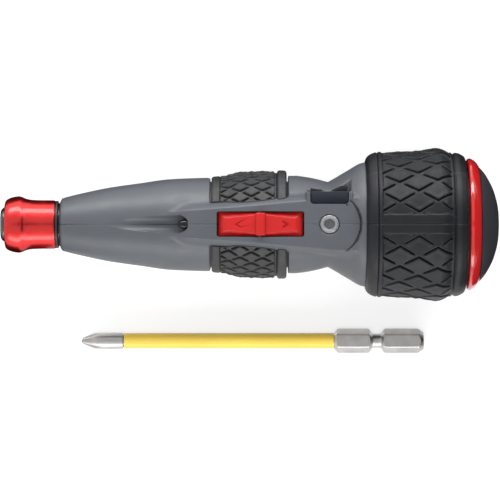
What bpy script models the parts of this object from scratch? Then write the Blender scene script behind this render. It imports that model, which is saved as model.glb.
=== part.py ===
"""Ball-grip cordless screwdriver with a loose driver bit, built as separate pieces.

The screwdriver's axis is the X axis, with the nose towards -X and the rocker switch on top, towards +Z. The
origin is the centre of the seat at the floor of the hex socket, where the end of a bit rests on the magnet.
Places along the axis follow from one another, from the nose to the tail.
"""

import math

import bmesh
import bpy
from mathutils import Matrix, Vector

MM = 0.001

# Clearances
FIT_GAP = 0.3 * MM
RUNNING_GAP = 0.15 * MM
SHELL_GAP = 0.2 * MM
ROOM_GAP = 0.3 * MM
PARTING_GAP = 0.1 * MM
OVERRUN = 2.0 * MM
WELD = 0.001 * MM

# Number of sides on round pieces
BODY_SIDES = 36
SHAFT_SIDES = 24
SMALL_SIDES = 12

# Hex socket, bit holder and its magnet
HEX_FLATS = 6.35 * MM
SOCKET_PLAY = 0.15 * MM
SOCKET_DEPTH = 24.0 * MM
SOCKET_CHAMFER = 0.6 * MM
HOLDER_RADIUS = 5.0 * MM
HOLDER_CHAMFER = 0.5 * MM
MAGNET_RADIUS = 2.7 * MM
MAGNET_LENGTH = 3.0 * MM
NOSE_X = -SOCKET_DEPTH

# Ball lock: the ball drops into the groove of a bit
GROOVE_FROM_END = 14.0 * MM
LOCK_BALL_RADIUS = 1.25 * MM
LOCK_BALL_REACH = 2.75 * MM
LOCK_BALL_TRAVEL = 0.5 * MM
LOCK_HOLE_INNER = 1.2 * MM
LOCK_HOLE_OUTER = 1.5 * MM
LOCK_BALL_X = -GROOVE_FROM_END
LOCK_BALL_Z = LOCK_BALL_REACH + LOCK_BALL_RADIUS

# Snap ring and washer at the nose, which hold the release sleeve and its spring
RING_SETBACK = 1.25 * MM
RING_WIRE = 0.5 * MM
RING_DEPTH = 0.4 * MM
RING_RADIUS = 5.8 * MM
WASHER_RADIUS = 6.05 * MM
WASHER_THICKNESS = 0.5 * MM

# Release sleeve, which slides forwards to free the bit
SLEEVE_SETBACK = 1.3 * MM
SLEEVE_LENGTH = 14.65 * MM
SLEEVE_RADIUS = 8.27 * MM
SLEEVE_MOUTH_RADIUS = 6.25 * MM
LAND_LENGTH = 3.0 * MM
LAND_GAP = 0.1 * MM
RAMP_LENGTH = 3.0 * MM
GUIDE_LENGTH = 1.4 * MM
SLEEVE_OUTLINE_SHARES = (
    (0.0, 0.83), (0.03, 0.90), (0.12, 0.952), (0.26, 1.0), (0.34, 0.975), (0.43, 0.905), (0.53, 0.87),
    (0.96, 0.855), (1.0, 0.83),
)

# Return spring of the sleeve
SPRING_WIRE = 0.45 * MM
SPRING_TURNS = 3.5
SPRING_POINTS_PER_TURN = 10

# Stop ring behind the sleeve, and the collar of the bit holder behind it
STOP_GAP = 0.1 * MM
STOP_RING_LENGTH = 0.7 * MM
STOP_RING_RADIUS = 6.9 * MM
COLLAR_LENGTH = 0.3 * MM
COLLAR_RADIUS = 6.3 * MM

# Front bush, the clip behind it and the tail of the bit holder
LIP_LENGTH = 1.4 * MM
BUSH_LENGTH = 8.6 * MM
BUSH_WALL = 1.15 * MM
CLIP_THICKNESS = 0.6 * MM
CLIP_RADIUS = 6.1 * MM
CLIP_DEPTH = 0.5 * MM
CLIP_MOUTH_SHARE = 0.8
TAIL_RADIUS = 3.0 * MM

# Planetary gearbox: two equal stages inside one ring gear
MODULE = 0.4 * MM
PRESSURE_ANGLE = math.radians(20)
SUN_TEETH = 9
PLANET_TEETH = 15
RING_TEETH = 39
PLANETS = 3
ADDENDUM_SHARE = 0.8
DEDENDUM_SHARE = 1.05
BACKLASH_SHARE = 0.2
FACE_WIDTH = 3.2 * MM
PIN_RADIUS = 0.75 * MM
CARRIER_THICKNESS = 1.5 * MM
CARRIER_RADIUS = 6.5 * MM
RING_GEAR_WALL = 1.1 * MM
GEAR_NOSE_RADIUS = 7.4 * MM
GEAR_NOSE_LENGTH = 3.4 * MM
PLATE_THICKNESS = 1.2 * MM

# Motor
MOTOR_RADIUS = 10.2 * MM
MOTOR_FLATS = 15.4 * MM
CAN_LENGTH = 22.8 * MM
CAN_WALL = 0.8 * MM
CAN_BOSS_RADIUS = 3.0 * MM
CAN_BOSS_LENGTH = 0.9 * MM
END_BELL_THICKNESS = 2.8 * MM
MAGNET_ARC = math.radians(96)
FIELD_MAGNET_THICKNESS = 1.7 * MM
FIELD_MAGNET_LENGTH = 15.0 * MM
SHAFT_RADIUS = 0.75 * MM
SHAFT_STUB = 0.5 * MM
ARMATURE_POLES = 3
ARMATURE_LENGTH = 12.5 * MM
ARMATURE_NECK_SHARE = 0.42
ARMATURE_SHOE_SHARE = 0.8
COMMUTATOR_RADIUS = 2.4 * MM
COMMUTATOR_LENGTH = 4.0 * MM

# Battery cell
CELL_RADIUS = 9.15 * MM
CELL_LENGTH = 65.0 * MM
CELL_EDGE = 0.8 * MM
CELL_BUTTON_RADIUS = 3.0 * MM
CELL_BUTTON_HEIGHT = 1.0 * MM
CELL_SETBACK = 1.7 * MM

# Housing, outside: neck, front grip, waist, ball
NECK_RADIUS = 13.6 * MM
GRIP_FROM_NOSE = 61.0 * MM
NECK_OUTLINE_SHARES = (
    (0.0, 0.478), (0.006, 0.535), (0.02, 0.565), (0.178, 0.691), (0.321, 0.787), (0.539, 0.8875),
    (0.732, 0.9706), (0.85, 0.993), (0.985, 1.0), (1.0, 0.982),
)
GRIP_LENGTH = 22.4 * MM
GRIP_SEAT_RADIUS = 12.5 * MM
WAIST_RADIUS = 12.35 * MM
WAIST_LENGTH = 11.8 * MM
WAIST_OUTLINE_SHARES = (
    (0.0, 1.13), (0.03, 1.153), (0.22, 1.152), (0.5, 1.113), (0.78, 1.055), (1.0, 1.0),
)
CONE_LENGTH = 10.7 * MM
BALL_RADIUS = 22.3 * MM
HOUSING_WALL = 1.6 * MM
BALL_WALL = 0.9 * MM
CONE_OUTLINE_SHARES = ((0.0, 0.554), (0.46, 0.686), (0.92, 0.806), (1.0, 0.812))
BALL_SEAT_SHARES = ((0.0, 0.797), (0.16, 0.852), (0.5, 0.876), (0.76, 0.865), (1.0, 0.775))
SPIGOT_LENGTH = 3.4 * MM
SPIGOT_SHARE = 0.713
SPIGOT_WALL = 1.9 * MM
CELL_STAND_OUT = 2.3 * MM

# Rubber sleeves over the housing
FRONT_GRIP_RADIUS = 15.8 * MM
FRONT_GRIP_OUTLINE_SHARES = (
    (0.0, 0.85), (0.02, 0.882), (0.14, 0.893), (0.33, 0.965), (0.55, 0.985), (0.81, 0.981), (0.83, 0.952),
    (0.86, 0.952), (0.88, 0.997), (0.965, 1.0), (1.0, 0.97),
)
BALL_GRIP_OUTLINE_SHARES = (
    (0.0, 0.843), (0.02, 0.888), (0.10, 0.942), (0.33, 0.957), (0.54, 0.978), (0.73, 1.0), (0.835, 0.945),
    (0.86, 0.925), (0.885, 0.938), (0.98, 0.885), (1.0, 0.865),
)

# Diamond pads on the ball grip: a shallow panel of overlapping pads, with a groove along the two edges of
# each pad that meet in its point. Widths are measured along the arc at the ball's full radius.
PANEL_SHARES = (0.155, 0.85)
PANEL_SEAM_BAND = 2.7 * MM
PANEL_DEPTH = 0.2 * MM
PANEL_EDGE = 0.3 * MM
PAD_LENGTH = 10.84 * MM
PAD_WIDTH = 6.62 * MM
PAD_POINT_SHARE = 0.51
PAD_POINT_FROM_SEAM = 3.7 * MM
PAD_TILT = 0.2 * MM
PAD_GROOVE_DEPTH = 0.4 * MM
PAD_GROOVE_HALF_WIDTH = 0.4 * MM
PAD_GROOVE_REACH_SHARE = 0.8
GRIP_STEPS = 36

# Red ring and end cap
TAIL_RING_GAP = 0.5 * MM
TAIL_RING_LENGTH = 3.4 * MM
TAIL_RING_SHARE = 0.863
TAIL_RING_OUTLINE_SHARES = (
    (0.0, 0.972), (0.06, 0.99), (0.2, 1.0), (0.42, 0.988), (0.75, 0.945), (1.0, 0.893),
)
CAP_SHARE = 0.749
CAP_HEIGHT = 5.9 * MM
CAP_WALL = 1.8 * MM
CAP_SKIRT_LENGTH = 4.6 * MM
CAP_SKIRT_WALL = 1.5 * MM
CAP_STUD_RADIUS = 4.0 * MM
CAP_RINGS = 5

# Plateau: the flat block along the top that carries the switch, the charging port and the indicator
PLATEAU_TOP = 15.6 * MM
PLATEAU_ROOF = 1.7 * MM
PLATEAU_EDGE_DROP = 3.0 * MM
PLATEAU_EDGE_SPREAD = 1.7 * MM
PLATEAU_LEAD = 11.4 * MM
PLATEAU_TRAIL = 8.2 * MM
PLATEAU_WIDTH = 15.4 * MM
PLATEAU_SECTION_SHARES = (
    (0.0, 0.42, 0.81), (0.06, 0.50, 0.92), (0.10, 0.53, 0.985), (0.135, 0.545, 1.0), (0.30, 0.62, 1.0),
    (0.62, 0.82, 1.0), (0.76, 0.90, 1.0), (0.97, 1.0, 1.0), (1.0, 0.98, 0.985),
)
POCKET_RADIUS = 9.2 * MM
POCKET_DRAFT = 1.1 * MM
POCKET_HEIGHT = 5.0 * MM
PORT_BLOCK_LENGTH = 13.1 * MM
PORT_BLOCK_SIDE = 9.4 * MM
PLUG_NOTCH_FLOOR = 9.4 * MM

# Charging port and its cover
PORT_SETBACK = 0.2 * MM
PORT_WIDTH = 8.94 * MM
PORT_HEIGHT = 3.16 * MM
PORT_DEPTH = 6.0 * MM
PORT_WALL = 0.3 * MM
PORT_CORNER_SHARE = 0.8
TONGUE_WIDTH = 6.7 * MM
TONGUE_THICKNESS = 0.7 * MM
TONGUE_LENGTH = 4.4 * MM
COVER_LENGTH = 10.7 * MM
COVER_TOP_WIDTH = 3.4 * MM
COVER_HEIGHT = 5.9 * MM
COVER_THICKNESS = 1.2 * MM

# Circuit board and what stands on it
BOARD_GAP = 0.3 * MM
BOARD_THICKNESS = 0.8 * MM
BOARD_LEAD = 1.0 * MM
BOARD_STEP_LEAD = 4.9 * MM
BOARD_TRAIL = 7.8 * MM
BOARD_HALF_WIDTH = 4.3 * MM
BOARD_WIDE_LEFT = 5.2 * MM
BOARD_WIDE_RIGHT = 7.7 * MM

# Rocker switch
ROCKER_SETBACK = 14.6 * MM
WINDOW_LENGTH = 25.0 * MM
WINDOW_WIDTH = 7.2 * MM
ROCKER_BOTTOM_DROP = 2.6 * MM
ROCKER_PIVOT_DROP = 2.7 * MM
ROCKER_LUG_RADIUS = 1.6 * MM
ROCKER_PIN_RADIUS = 0.8 * MM
ROCKER_PIN_LENGTH = 11.4 * MM
FOOT_OFFSET = 7.0 * MM
FOOT_LENGTH = 1.6 * MM
FOOT_WIDTH = 2.6 * MM
SWITCH_LENGTH = 6.0 * MM
SWITCH_WIDTH = 3.6 * MM
SWITCH_HEIGHT = 1.5 * MM
SWITCH_FLOOR = 0.2 * MM
PLUNGER_RADIUS = 1.15 * MM
PLUNGER_LIFT = 0.65 * MM
# x share of half length, half width share of the window, height share between rocker bottom and plateau top
ROCKER_SECTION_SHARES = (
    (-1.0, 0.80, 0.62), (-0.83, 0.58, 1.02), (-0.15, 0.90, 1.16), (-0.115, 0.92, 1.36), (0.0, 0.93, 1.54),
    (0.115, 0.92, 1.36), (0.15, 0.90, 1.16), (0.83, 0.58, 1.02), (1.0, 0.80, 0.62),
)
ROCKER_FLANK_SHARE = 0.55

# Indicator lens and its lamp
LENS_RADIUS = 2.72 * MM
LENS_HEAD = 1.2 * MM
LENS_PIPE_RADIUS = 1.25 * MM
LENS_PIPE_GAP = 0.3 * MM
LENS_RING_SHARES = (0.62, 0.74)
LENS_RING_DEPTH = 0.25 * MM
LAMP_SIZE = 1.6 * MM
LAMP_HEIGHT = 0.7 * MM

# Headlight
BEAM_RADIUS = 2.4 * MM
BEAM_HEIGHT = 13.25 * MM
BEAM_SETBACK = 6.3 * MM
HEADLIGHT_RADIUS = 1.5 * MM
HEADLIGHT_LENGTH = 5.0 * MM
HEADLIGHT_STAND_OUT = 1.6 * MM

# Housing screws: how far from the front grip's two ends and the waist, and depth of each head's seat
SCREW_SHANK_RADIUS = 1.0 * MM
SCREW_HEAD_RADIUS = 1.6 * MM
SCREW_HEAD_HEIGHT = 1.3 * MM
SCREW_LENGTH = 7.5 * MM
SCREW_BOSS_WALL = 0.6 * MM
SCREW_RECESS_WIDTH = 0.8 * MM
SCREW_RECESS_DEPTH = 0.7 * MM
SCREW_RECESS_SHARE = 0.7
SCREW_FRONT_SETBACK = 4.0 * MM
SCREW_FRONT_SEAT = 4.3 * MM
SCREW_MIDDLE_SETBACK = 3.2 * MM
SCREW_MIDDLE_SEAT = 3.0 * MM
SCREW_REAR_SETBACK = 8.4 * MM
SCREW_REAR_SEAT = 4.0 * MM
SCREW_REAR_DROP = 1.5 * MM

# Ribs inside the housing that hold the cell
RIB_LENGTH = 1.6 * MM
WIRE_CHANNEL_HALF_WIDTH = 2.0 * MM
WIRE_CHANNEL_HEIGHT = 2.6 * MM

# Wires
WIRE_RADIUS = 0.5 * MM
WIRE_END_GAP = 0.1 * MM
REAR_LEAD_SHARE = 0.8

# Driver bit, lying beside the screwdriver
BIT_Y = -34.4 * MM
BIT_TIP_FROM_NOSE = 22.6 * MM
BIT_LENGTH = 101.6 * MM
BIT_TIP_RADIUS = 0.75 * MM
BIT_POINT_LENGTH = 3.6 * MM
BIT_HEAD_RADIUS = 2.4 * MM
BIT_HEAD_LENGTH = 12.4 * MM
BIT_SHAFT_RADIUS = 1.8 * MM
BIT_SHANK_LENGTH = 26.6 * MM
BIT_SHANK_TURN = 0.2 * MM
BIT_SHANK_CHAMFER = 1.9 * MM
BIT_GROOVE_RADIUS = 2.05 * MM
BIT_GROOVE_LENGTH = 3.0 * MM
BIT_GROOVE_FLARE = 0.9 * MM
FLUTE_WIDTH = 3.0 * MM
FLUTE_LENGTH = 6.0 * MM
FLUTE_REACH_SHARE = 0.42
FLUTE_SLOPE = math.radians(15)
JACKET_WALL = 0.3 * MM

# Worked-out places along the axis, from the nose to the tail
SLEEVE_X = NOSE_X + SLEEVE_SETBACK
SLEEVE_END_X = SLEEVE_X + SLEEVE_LENGTH
STOP_RING_X = SLEEVE_END_X + STOP_GAP
COLLAR_X = STOP_RING_X + STOP_RING_LENGTH + STOP_GAP
HOUSING_X = COLLAR_X + COLLAR_LENGTH + RUNNING_GAP
BUSH_X = HOUSING_X + LIP_LENGTH + RUNNING_GAP
BUSH_END_X = BUSH_X + BUSH_LENGTH
CLIP_X = BUSH_END_X + RUNNING_GAP
SHOULDER_X = CLIP_X + CLIP_THICKNESS + 2 * RUNNING_GAP + CLIP_DEPTH
GEAR_NOSE_X = SHOULDER_X + FIT_GAP
OUTPUT_PLATE_X = GEAR_NOSE_X + GEAR_NOSE_LENGTH + FIT_GAP
OUTPUT_PLANET_X = OUTPUT_PLATE_X + CARRIER_THICKNESS + FIT_GAP
RING_GEAR_X = OUTPUT_PLATE_X + CARRIER_THICKNESS
INPUT_PLATE_X = OUTPUT_PLANET_X + FACE_WIDTH + FIT_GAP
INPUT_PLANET_X = INPUT_PLATE_X + CARRIER_THICKNESS + FIT_GAP
INPUT_PLANET_END_X = INPUT_PLANET_X + FACE_WIDTH
MOTOR_PLATE_X = INPUT_PLANET_END_X + FIT_GAP
MOTOR_PLATE_END_X = MOTOR_PLATE_X + PLATE_THICKNESS
CAN_X = MOTOR_PLATE_END_X + RUNNING_GAP
CAN_END_X = CAN_X + CAN_LENGTH
END_BELL_X = CAN_END_X + RUNNING_GAP
END_BELL_END_X = END_BELL_X + END_BELL_THICKNESS
CELL_X = END_BELL_END_X + CELL_SETBACK
CELL_END_X = CELL_X + CELL_LENGTH
GRIP_X = NOSE_X + GRIP_FROM_NOSE
GRIP_END_X = GRIP_X + GRIP_LENGTH
WAIST_X = GRIP_END_X + WAIST_LENGTH
BALL_GRIP_X = WAIST_X + CONE_LENGTH
BALL_GRIP_END_X = CELL_END_X - CELL_STAND_OUT
BALL_GRIP_LENGTH = BALL_GRIP_END_X - BALL_GRIP_X
TAIL_RING_X = BALL_GRIP_END_X + TAIL_RING_GAP
SPIGOT_END_X = BALL_GRIP_END_X + SPIGOT_LENGTH
CAP_X = TAIL_RING_X + TAIL_RING_LENGTH + SHELL_GAP

PLATEAU_X = GRIP_X - PLATEAU_LEAD
PLATEAU_END_X = WAIST_X + PLATEAU_TRAIL
BEAM_END_X = GRIP_X - BEAM_SETBACK
BOARD_X = GRIP_X + BOARD_LEAD
BOARD_STEP_X = GRIP_END_X + BOARD_STEP_LEAD
BOARD_END_X = WAIST_X + BOARD_TRAIL
ROCKER_X = GRIP_X + ROCKER_SETBACK
PORT_X = WAIST_X + PORT_SETBACK
PORT_BLOCK_X = PORT_X - PORT_BLOCK_LENGTH / 2

# Worked-out radii
SOCKET_FLATS = HEX_FLATS + SOCKET_PLAY
BUSH_BORE = HOLDER_RADIUS + RUNNING_GAP
BUSH_RADIUS = BUSH_BORE + BUSH_WALL
BUSH_ROOM = BUSH_RADIUS + ROOM_GAP
PLANET_ORBIT = MODULE * (SUN_TEETH + PLANET_TEETH) / 2
RING_ROOT = MODULE * (RING_TEETH / 2 + DEDENDUM_SHARE)
GEAR_CASE_RADIUS = RING_ROOT + RING_GEAR_WALL
GEAR_CASE_ROOM = GEAR_CASE_RADIUS + ROOM_GAP
MOTOR_ROOM = MOTOR_RADIUS + ROOM_GAP
SADDLE_RADIUS = CELL_RADIUS + ROOM_GAP
FRONT_ROOM = GRIP_SEAT_RADIUS - HOUSING_WALL
REAR_ROOM = BALL_RADIUS * BALL_SEAT_SHARES[-1][1] - BALL_WALL
SPIGOT_RADIUS = BALL_RADIUS * SPIGOT_SHARE
SPIGOT_BORE = SPIGOT_RADIUS - SPIGOT_WALL
TAIL_RING_RADIUS = BALL_RADIUS * TAIL_RING_SHARE
CAP_RADIUS = BALL_RADIUS * CAP_SHARE
SCREW_BOSS_RADIUS = SCREW_HEAD_RADIUS + SHELL_GAP + SCREW_BOSS_WALL

# Worked-out heights
ROOF_UNDERSIDE = PLATEAU_TOP - PLATEAU_ROOF
BOARD_Z = CELL_RADIUS + BOARD_GAP
BOARD_TOP = BOARD_Z + BOARD_THICKNESS
SEATED_Z = BOARD_TOP + WIRE_END_GAP
ROCKER_Z = PLATEAU_TOP - ROCKER_PIVOT_DROP
ROCKER_BOTTOM = PLATEAU_TOP - ROCKER_BOTTOM_DROP
PLUNGER_TOP = SEATED_Z + SWITCH_HEIGHT + PLUNGER_LIFT
PORT_Z = SEATED_Z + PORT_HEIGHT / 2
PORT_MOUTH_Y = PORT_BLOCK_SIDE - COVER_THICKNESS - SHELL_GAP
FLOOR_Z = -BALL_RADIUS * math.cos(math.pi / BODY_SIDES)

# Each housing screw's place along the axis, drop below the axis, and depth of its head's seat
FRONT_SCREW_DROP = MOTOR_FLATS / 2 + FIT_GAP + SCREW_BOSS_RADIUS
CELL_SCREW_DROP = CELL_RADIUS + FIT_GAP + SCREW_BOSS_RADIUS
SCREWS = {
    "front": (GRIP_X - SCREW_FRONT_SETBACK, FRONT_SCREW_DROP, SCREW_FRONT_SEAT),
    "middle": (GRIP_END_X + SCREW_MIDDLE_SETBACK, CELL_SCREW_DROP, SCREW_MIDDLE_SEAT),
    "rear": (WAIST_X + SCREW_REAR_SETBACK, CELL_SCREW_DROP + SCREW_REAR_DROP, SCREW_REAR_SEAT),
}


# Making meshes

def solid(name, mesh_builder, smooth_angle=30):
    """Turn a filled bmesh into a named object with faces pointing out and round walls shaded smooth."""
    bmesh.ops.remove_doubles(mesh_builder, verts=mesh_builder.verts, dist=WELD)
    bmesh.ops.recalc_face_normals(mesh_builder, faces=mesh_builder.faces)
    mesh = bpy.data.meshes.new(name)
    mesh_builder.to_mesh(mesh)
    mesh_builder.free()
    mesh.shade_smooth()
    mesh.set_sharp_from_angle(angle=math.radians(smooth_angle))
    piece = bpy.data.objects.new(name, mesh)
    bpy.context.scene.collection.objects.link(piece)
    return piece


def turned(name, outline, closed=False, sides=BODY_SIDES):
    """Turn an outline of (x, radius) points round the X axis; a closed outline makes a tube."""
    points = list(outline) if closed else [(outline[0][0], 0), *outline, (outline[-1][0], 0)]
    builder = bmesh.new()
    half_step = Matrix.Rotation(math.pi / sides, 3, "X")
    verts = [builder.verts.new(half_step @ Vector((x, 0, radius))) for x, radius in points]
    edges = [builder.edges.new(pair) for pair in zip(verts, verts[1:])]
    if closed:
        edges.append(builder.edges.new((verts[-1], verts[0])))
    bmesh.ops.spin(
        builder, geom=verts + edges, cent=(0, 0, 0), axis=(1, 0, 0), angle=math.tau, steps=sides,
        use_merge=True,
    )
    return solid(name, builder)


def tube(name, start, end, outer, inner, sides=BODY_SIDES):
    """A plain tube along the X axis."""
    outline = [(start, outer), (end, outer), (end, inner), (start, inner)]
    return turned(name, outline, closed=True, sides=sides)


def prism(name, outline, start, end, axis="X"):
    """Extrude a flat outline from one place to another along an axis.

    The outline's two numbers are (y, z) along X, (z, x) along Y and (x, y) along Z.
    """
    turns = "XYZ".index(axis) + 1

    def place(a, b, along):
        numbers = [a, b, along]
        return numbers[-turns:] + numbers[:-turns]

    builder = bmesh.new()
    face = builder.faces.new([builder.verts.new(place(a, b, start)) for a, b in outline])
    moved = bmesh.ops.extrude_face_region(builder, geom=[face])
    verts = [item for item in moved["geom"] if isinstance(item, bmesh.types.BMVert)]
    bmesh.ops.translate(builder, verts=verts, vec=place(0, 0, end - start))
    return solid(name, builder)


def box(name, low, high):
    """A block between two corners."""
    outline = [(low[0], low[1]), (high[0], low[1]), (high[0], high[1]), (low[0], high[1])]
    return prism(name, outline, low[2], high[2], axis="Z")


def circle(radius, sides, centre=(0, 0), turn=None):
    """Points of a regular polygon, by default with a flat side at each end of its axes."""
    first = math.pi / sides if turn is None else turn
    return [
        (centre[0] + radius * math.cos(first + math.tau * k / sides),
         centre[1] + radius * math.sin(first + math.tau * k / sides))
        for k in range(sides)
    ]


def rounded_box(half_width, half_height, radius, centre=(0, 0), steps=4):
    """Points of a rectangle with round corners."""
    points = []
    for corner, (side_a, side_b) in enumerate(((1, 1), (-1, 1), (-1, -1), (1, -1))):
        middle = (centre[0] + side_a * (half_width - radius), centre[1] + side_b * (half_height - radius))
        for step in range(steps + 1):
            angle = math.pi / 2 * (corner + step / steps)
            points.append((middle[0] + radius * math.cos(angle), middle[1] + radius * math.sin(angle)))
    return points


def loft(name, sections):
    """Join closed sections of equal point counts into one solid, with flat ends."""
    builder = bmesh.new()
    rings = [[builder.verts.new(point) for point in section] for section in sections]
    for ring, following in zip(rings, rings[1:]):
        for k in range(len(ring)):
            after = (k + 1) % len(ring)
            builder.faces.new((ring[k], ring[after], following[after], following[k]))
    builder.faces.new(rings[0])
    builder.faces.new(rings[-1])
    return solid(name, builder)


def scaled_outline(shares, start, length, radius):
    """Outline points from shares of a length and of a radius."""
    return [(start + share * length, radius_share * radius) for share, radius_share in shares]


# Changing solids

def combine(piece, tool, operation, keep_tool=False):
    """Cut, join or intersect a piece with a tool, and leave the result as the piece's mesh."""
    modifier = piece.modifiers.new(operation, "BOOLEAN")
    modifier.operation = operation
    modifier.solver = "EXACT"
    modifier.object = tool
    bpy.context.view_layer.update()
    depsgraph = bpy.context.evaluated_depsgraph_get()
    result = bpy.data.meshes.new_from_object(piece.evaluated_get(depsgraph))
    before = piece.data
    piece.modifiers.clear()
    piece.data = result
    bpy.data.meshes.remove(before)
    result.name = piece.name
    if not keep_tool:
        bpy.data.objects.remove(tool)
    return piece


def cut(piece, tool, keep_tool=False):
    return combine(piece, tool, "DIFFERENCE", keep_tool)


def join(piece, tool):
    return combine(piece, tool, "UNION")


def keep_inside(piece, tool):
    return combine(piece, tool, "INTERSECT")


def copy_of(piece, name):
    """A second object with its own copy of a piece's mesh."""
    twin = bpy.data.objects.new(name, piece.data.copy())
    bpy.context.scene.collection.objects.link(twin)
    return twin


def half_of(piece, name, side):
    """The half of a piece on one side of the parting plane, side +1 or -1."""
    reach = BALL_RADIUS + OVERRUN
    low, high = sorted((side * PARTING_GAP / 2, side * reach))
    space = box("half_space", (NOSE_X - OVERRUN, low, -reach), (CAP_X + CAP_HEIGHT + OVERRUN, high, reach))
    return keep_inside(copy_of(piece, name), space)


def set_origin(piece, place):
    """Move a piece's origin without moving its shape."""
    piece.data.transform(Matrix.Translation(-Vector(place)))
    piece.location = place
    return piece


# Gear outlines

def involute(angle):
    return math.tan(angle) - angle


def gear_outline(teeth, tip, root, thinning, phase, flank_points):
    """Points round a spur gear with involute flanks, one tooth centred on the phase angle."""
    pitch = MODULE * teeth / 2
    base = pitch * math.cos(PRESSURE_ANGLE)
    half_at_pitch = math.pi / (2 * teeth) - thinning / (2 * pitch)

    def half_tooth(radius):
        angle = math.acos(base / max(radius, base))
        return half_at_pitch + involute(PRESSURE_ANGLE) - involute(angle)

    radii = [root + (tip - root) * k / (flank_points - 1) for k in range(flank_points)]
    points = []
    for tooth in range(teeth):
        middle = phase + math.tau * tooth / teeth
        flank = [(radius, middle - half_tooth(radius)) for radius in radii]
        flank += [(radius, middle + half_tooth(radius)) for radius in reversed(radii)]
        points += [(radius * math.cos(angle), radius * math.sin(angle)) for radius, angle in flank]
    return points


def outer_teeth(teeth, phase):
    """Outline of a sun or planet gear."""
    pitch = MODULE * teeth / 2
    tip = pitch + ADDENDUM_SHARE * MODULE
    root = pitch - DEDENDUM_SHARE * MODULE
    return gear_outline(teeth, tip, root, BACKLASH_SHARE * MODULE, phase, flank_points=2)


def planet_places():
    """Angle of each planet round the axis, and the turn that puts its teeth in mesh with the ring gear."""
    places = []
    for k in range(PLANETS):
        angle = math.pi / 2 + math.tau * k / PLANETS
        ring_turns = RING_TEETH * angle / math.tau
        places.append((angle, angle - math.tau * (ring_turns + 0.5) / PLANET_TEETH))
    return places


def sun_phase():
    """Angle of a sun tooth that puts the sun in mesh with the planets."""
    angle, _ = planet_places()[0]
    ring_turns = RING_TEETH * angle / math.tau
    return angle + math.tau * (ring_turns + 0.5) / SUN_TEETH


# Housing

def housing_outline():
    """Outline of the housing's outside, from its front lip to the end of its tail spigot."""
    neck = scaled_outline(NECK_OUTLINE_SHARES, HOUSING_X, GRIP_X - HOUSING_X, NECK_RADIUS)
    grip = [(GRIP_X + SHELL_GAP, GRIP_SEAT_RADIUS), (GRIP_END_X, GRIP_SEAT_RADIUS)]
    waist_x = GRIP_END_X + SHELL_GAP
    waist = scaled_outline(WAIST_OUTLINE_SHARES, waist_x, WAIST_X - waist_x, WAIST_RADIUS)
    cone = scaled_outline(CONE_OUTLINE_SHARES, WAIST_X, CONE_LENGTH, BALL_RADIUS)[1:]
    ball = scaled_outline(BALL_SEAT_SHARES, BALL_GRIP_X + SHELL_GAP, BALL_GRIP_LENGTH, BALL_RADIUS)
    spigot = [(BALL_GRIP_END_X + SHELL_GAP, SPIGOT_RADIUS), (SPIGOT_END_X, SPIGOT_RADIUS)]
    return neck + grip + waist + cone + ball + spigot


def plateau_form(name, grown=0):
    """The plateau as a solid block that reaches down into the housing, larger all round by a gap."""
    sections = []
    for share, width_share, height_share in PLATEAU_SECTION_SHARES:
        x = PLATEAU_X + share * (PLATEAU_END_X - PLATEAU_X)
        top = PLATEAU_WIDTH / 2 * width_share + grown
        foot = top + PLATEAU_EDGE_SPREAD
        height = PLATEAU_TOP * height_share + grown
        edge = height - PLATEAU_EDGE_DROP
        sections.append([
            (x, -foot, PLATEAU_TOP / 2), (x, foot, PLATEAU_TOP / 2), (x, foot, edge),
            (x, top, height), (x, -top, height), (x, -foot, edge),
        ])
    return loft(name, sections)


def cell_room_outline():
    """Outline of the room inside the housing, from the front lip to the tail."""
    rib = RIB_LENGTH
    waist_seat = WAIST_X - 2 * rib
    front_rib = BALL_GRIP_X + 2 * rib
    rear_rib = BALL_GRIP_END_X - 5 * rib
    return [
        (HOUSING_X - OVERRUN, HOLDER_RADIUS + FIT_GAP), (BUSH_X - SHELL_GAP, HOLDER_RADIUS + FIT_GAP),
        (BUSH_X - SHELL_GAP, BUSH_ROOM), (GEAR_NOSE_X - SHELL_GAP, BUSH_ROOM),
        (GEAR_NOSE_X - SHELL_GAP, GEAR_NOSE_RADIUS + ROOM_GAP),
        (RING_GEAR_X - CARRIER_THICKNESS - ROOM_GAP, GEAR_CASE_ROOM),
        (CAN_X - SHELL_GAP, GEAR_CASE_ROOM), (CAN_X - SHELL_GAP, MOTOR_ROOM),
        (CELL_X, MOTOR_ROOM), (CELL_X, SADDLE_RADIUS), (CELL_X + rib, SADDLE_RADIUS),
        (CELL_X + rib, FRONT_ROOM), (waist_seat - rib, FRONT_ROOM), (waist_seat, SADDLE_RADIUS),
        (waist_seat + 4 * rib, SADDLE_RADIUS),
        (BALL_GRIP_X, REAR_ROOM - rib), (front_rib, REAR_ROOM), (front_rib, SADDLE_RADIUS),
        (front_rib + rib, SADDLE_RADIUS), (front_rib + rib, REAR_ROOM), (rear_rib, REAR_ROOM),
        (rear_rib, SADDLE_RADIUS), (rear_rib + rib, SADDLE_RADIUS), (rear_rib + rib, REAR_ROOM),
        (BALL_GRIP_END_X - rib, SPIGOT_BORE), (SPIGOT_END_X + OVERRUN, SPIGOT_BORE),
    ]


def screw_place(name):
    """Middle of a screw's axis, and how far its head seat lies from the parting plane."""
    x, drop, seat = SCREWS[name]
    return x, -drop, seat


def rod(name, x, z, start, end, radius, sides=SMALL_SIDES):
    """A round bar along the Y axis."""
    return prism(name, circle(radius, sides, (z, x)), start, end, axis="Y")


def upright(name, x, y, start, end, radius, sides=SMALL_SIDES):
    """A round bar along the Z axis."""
    return prism(name, circle(radius, sides, (x, y)), start, end, axis="Z")


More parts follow.
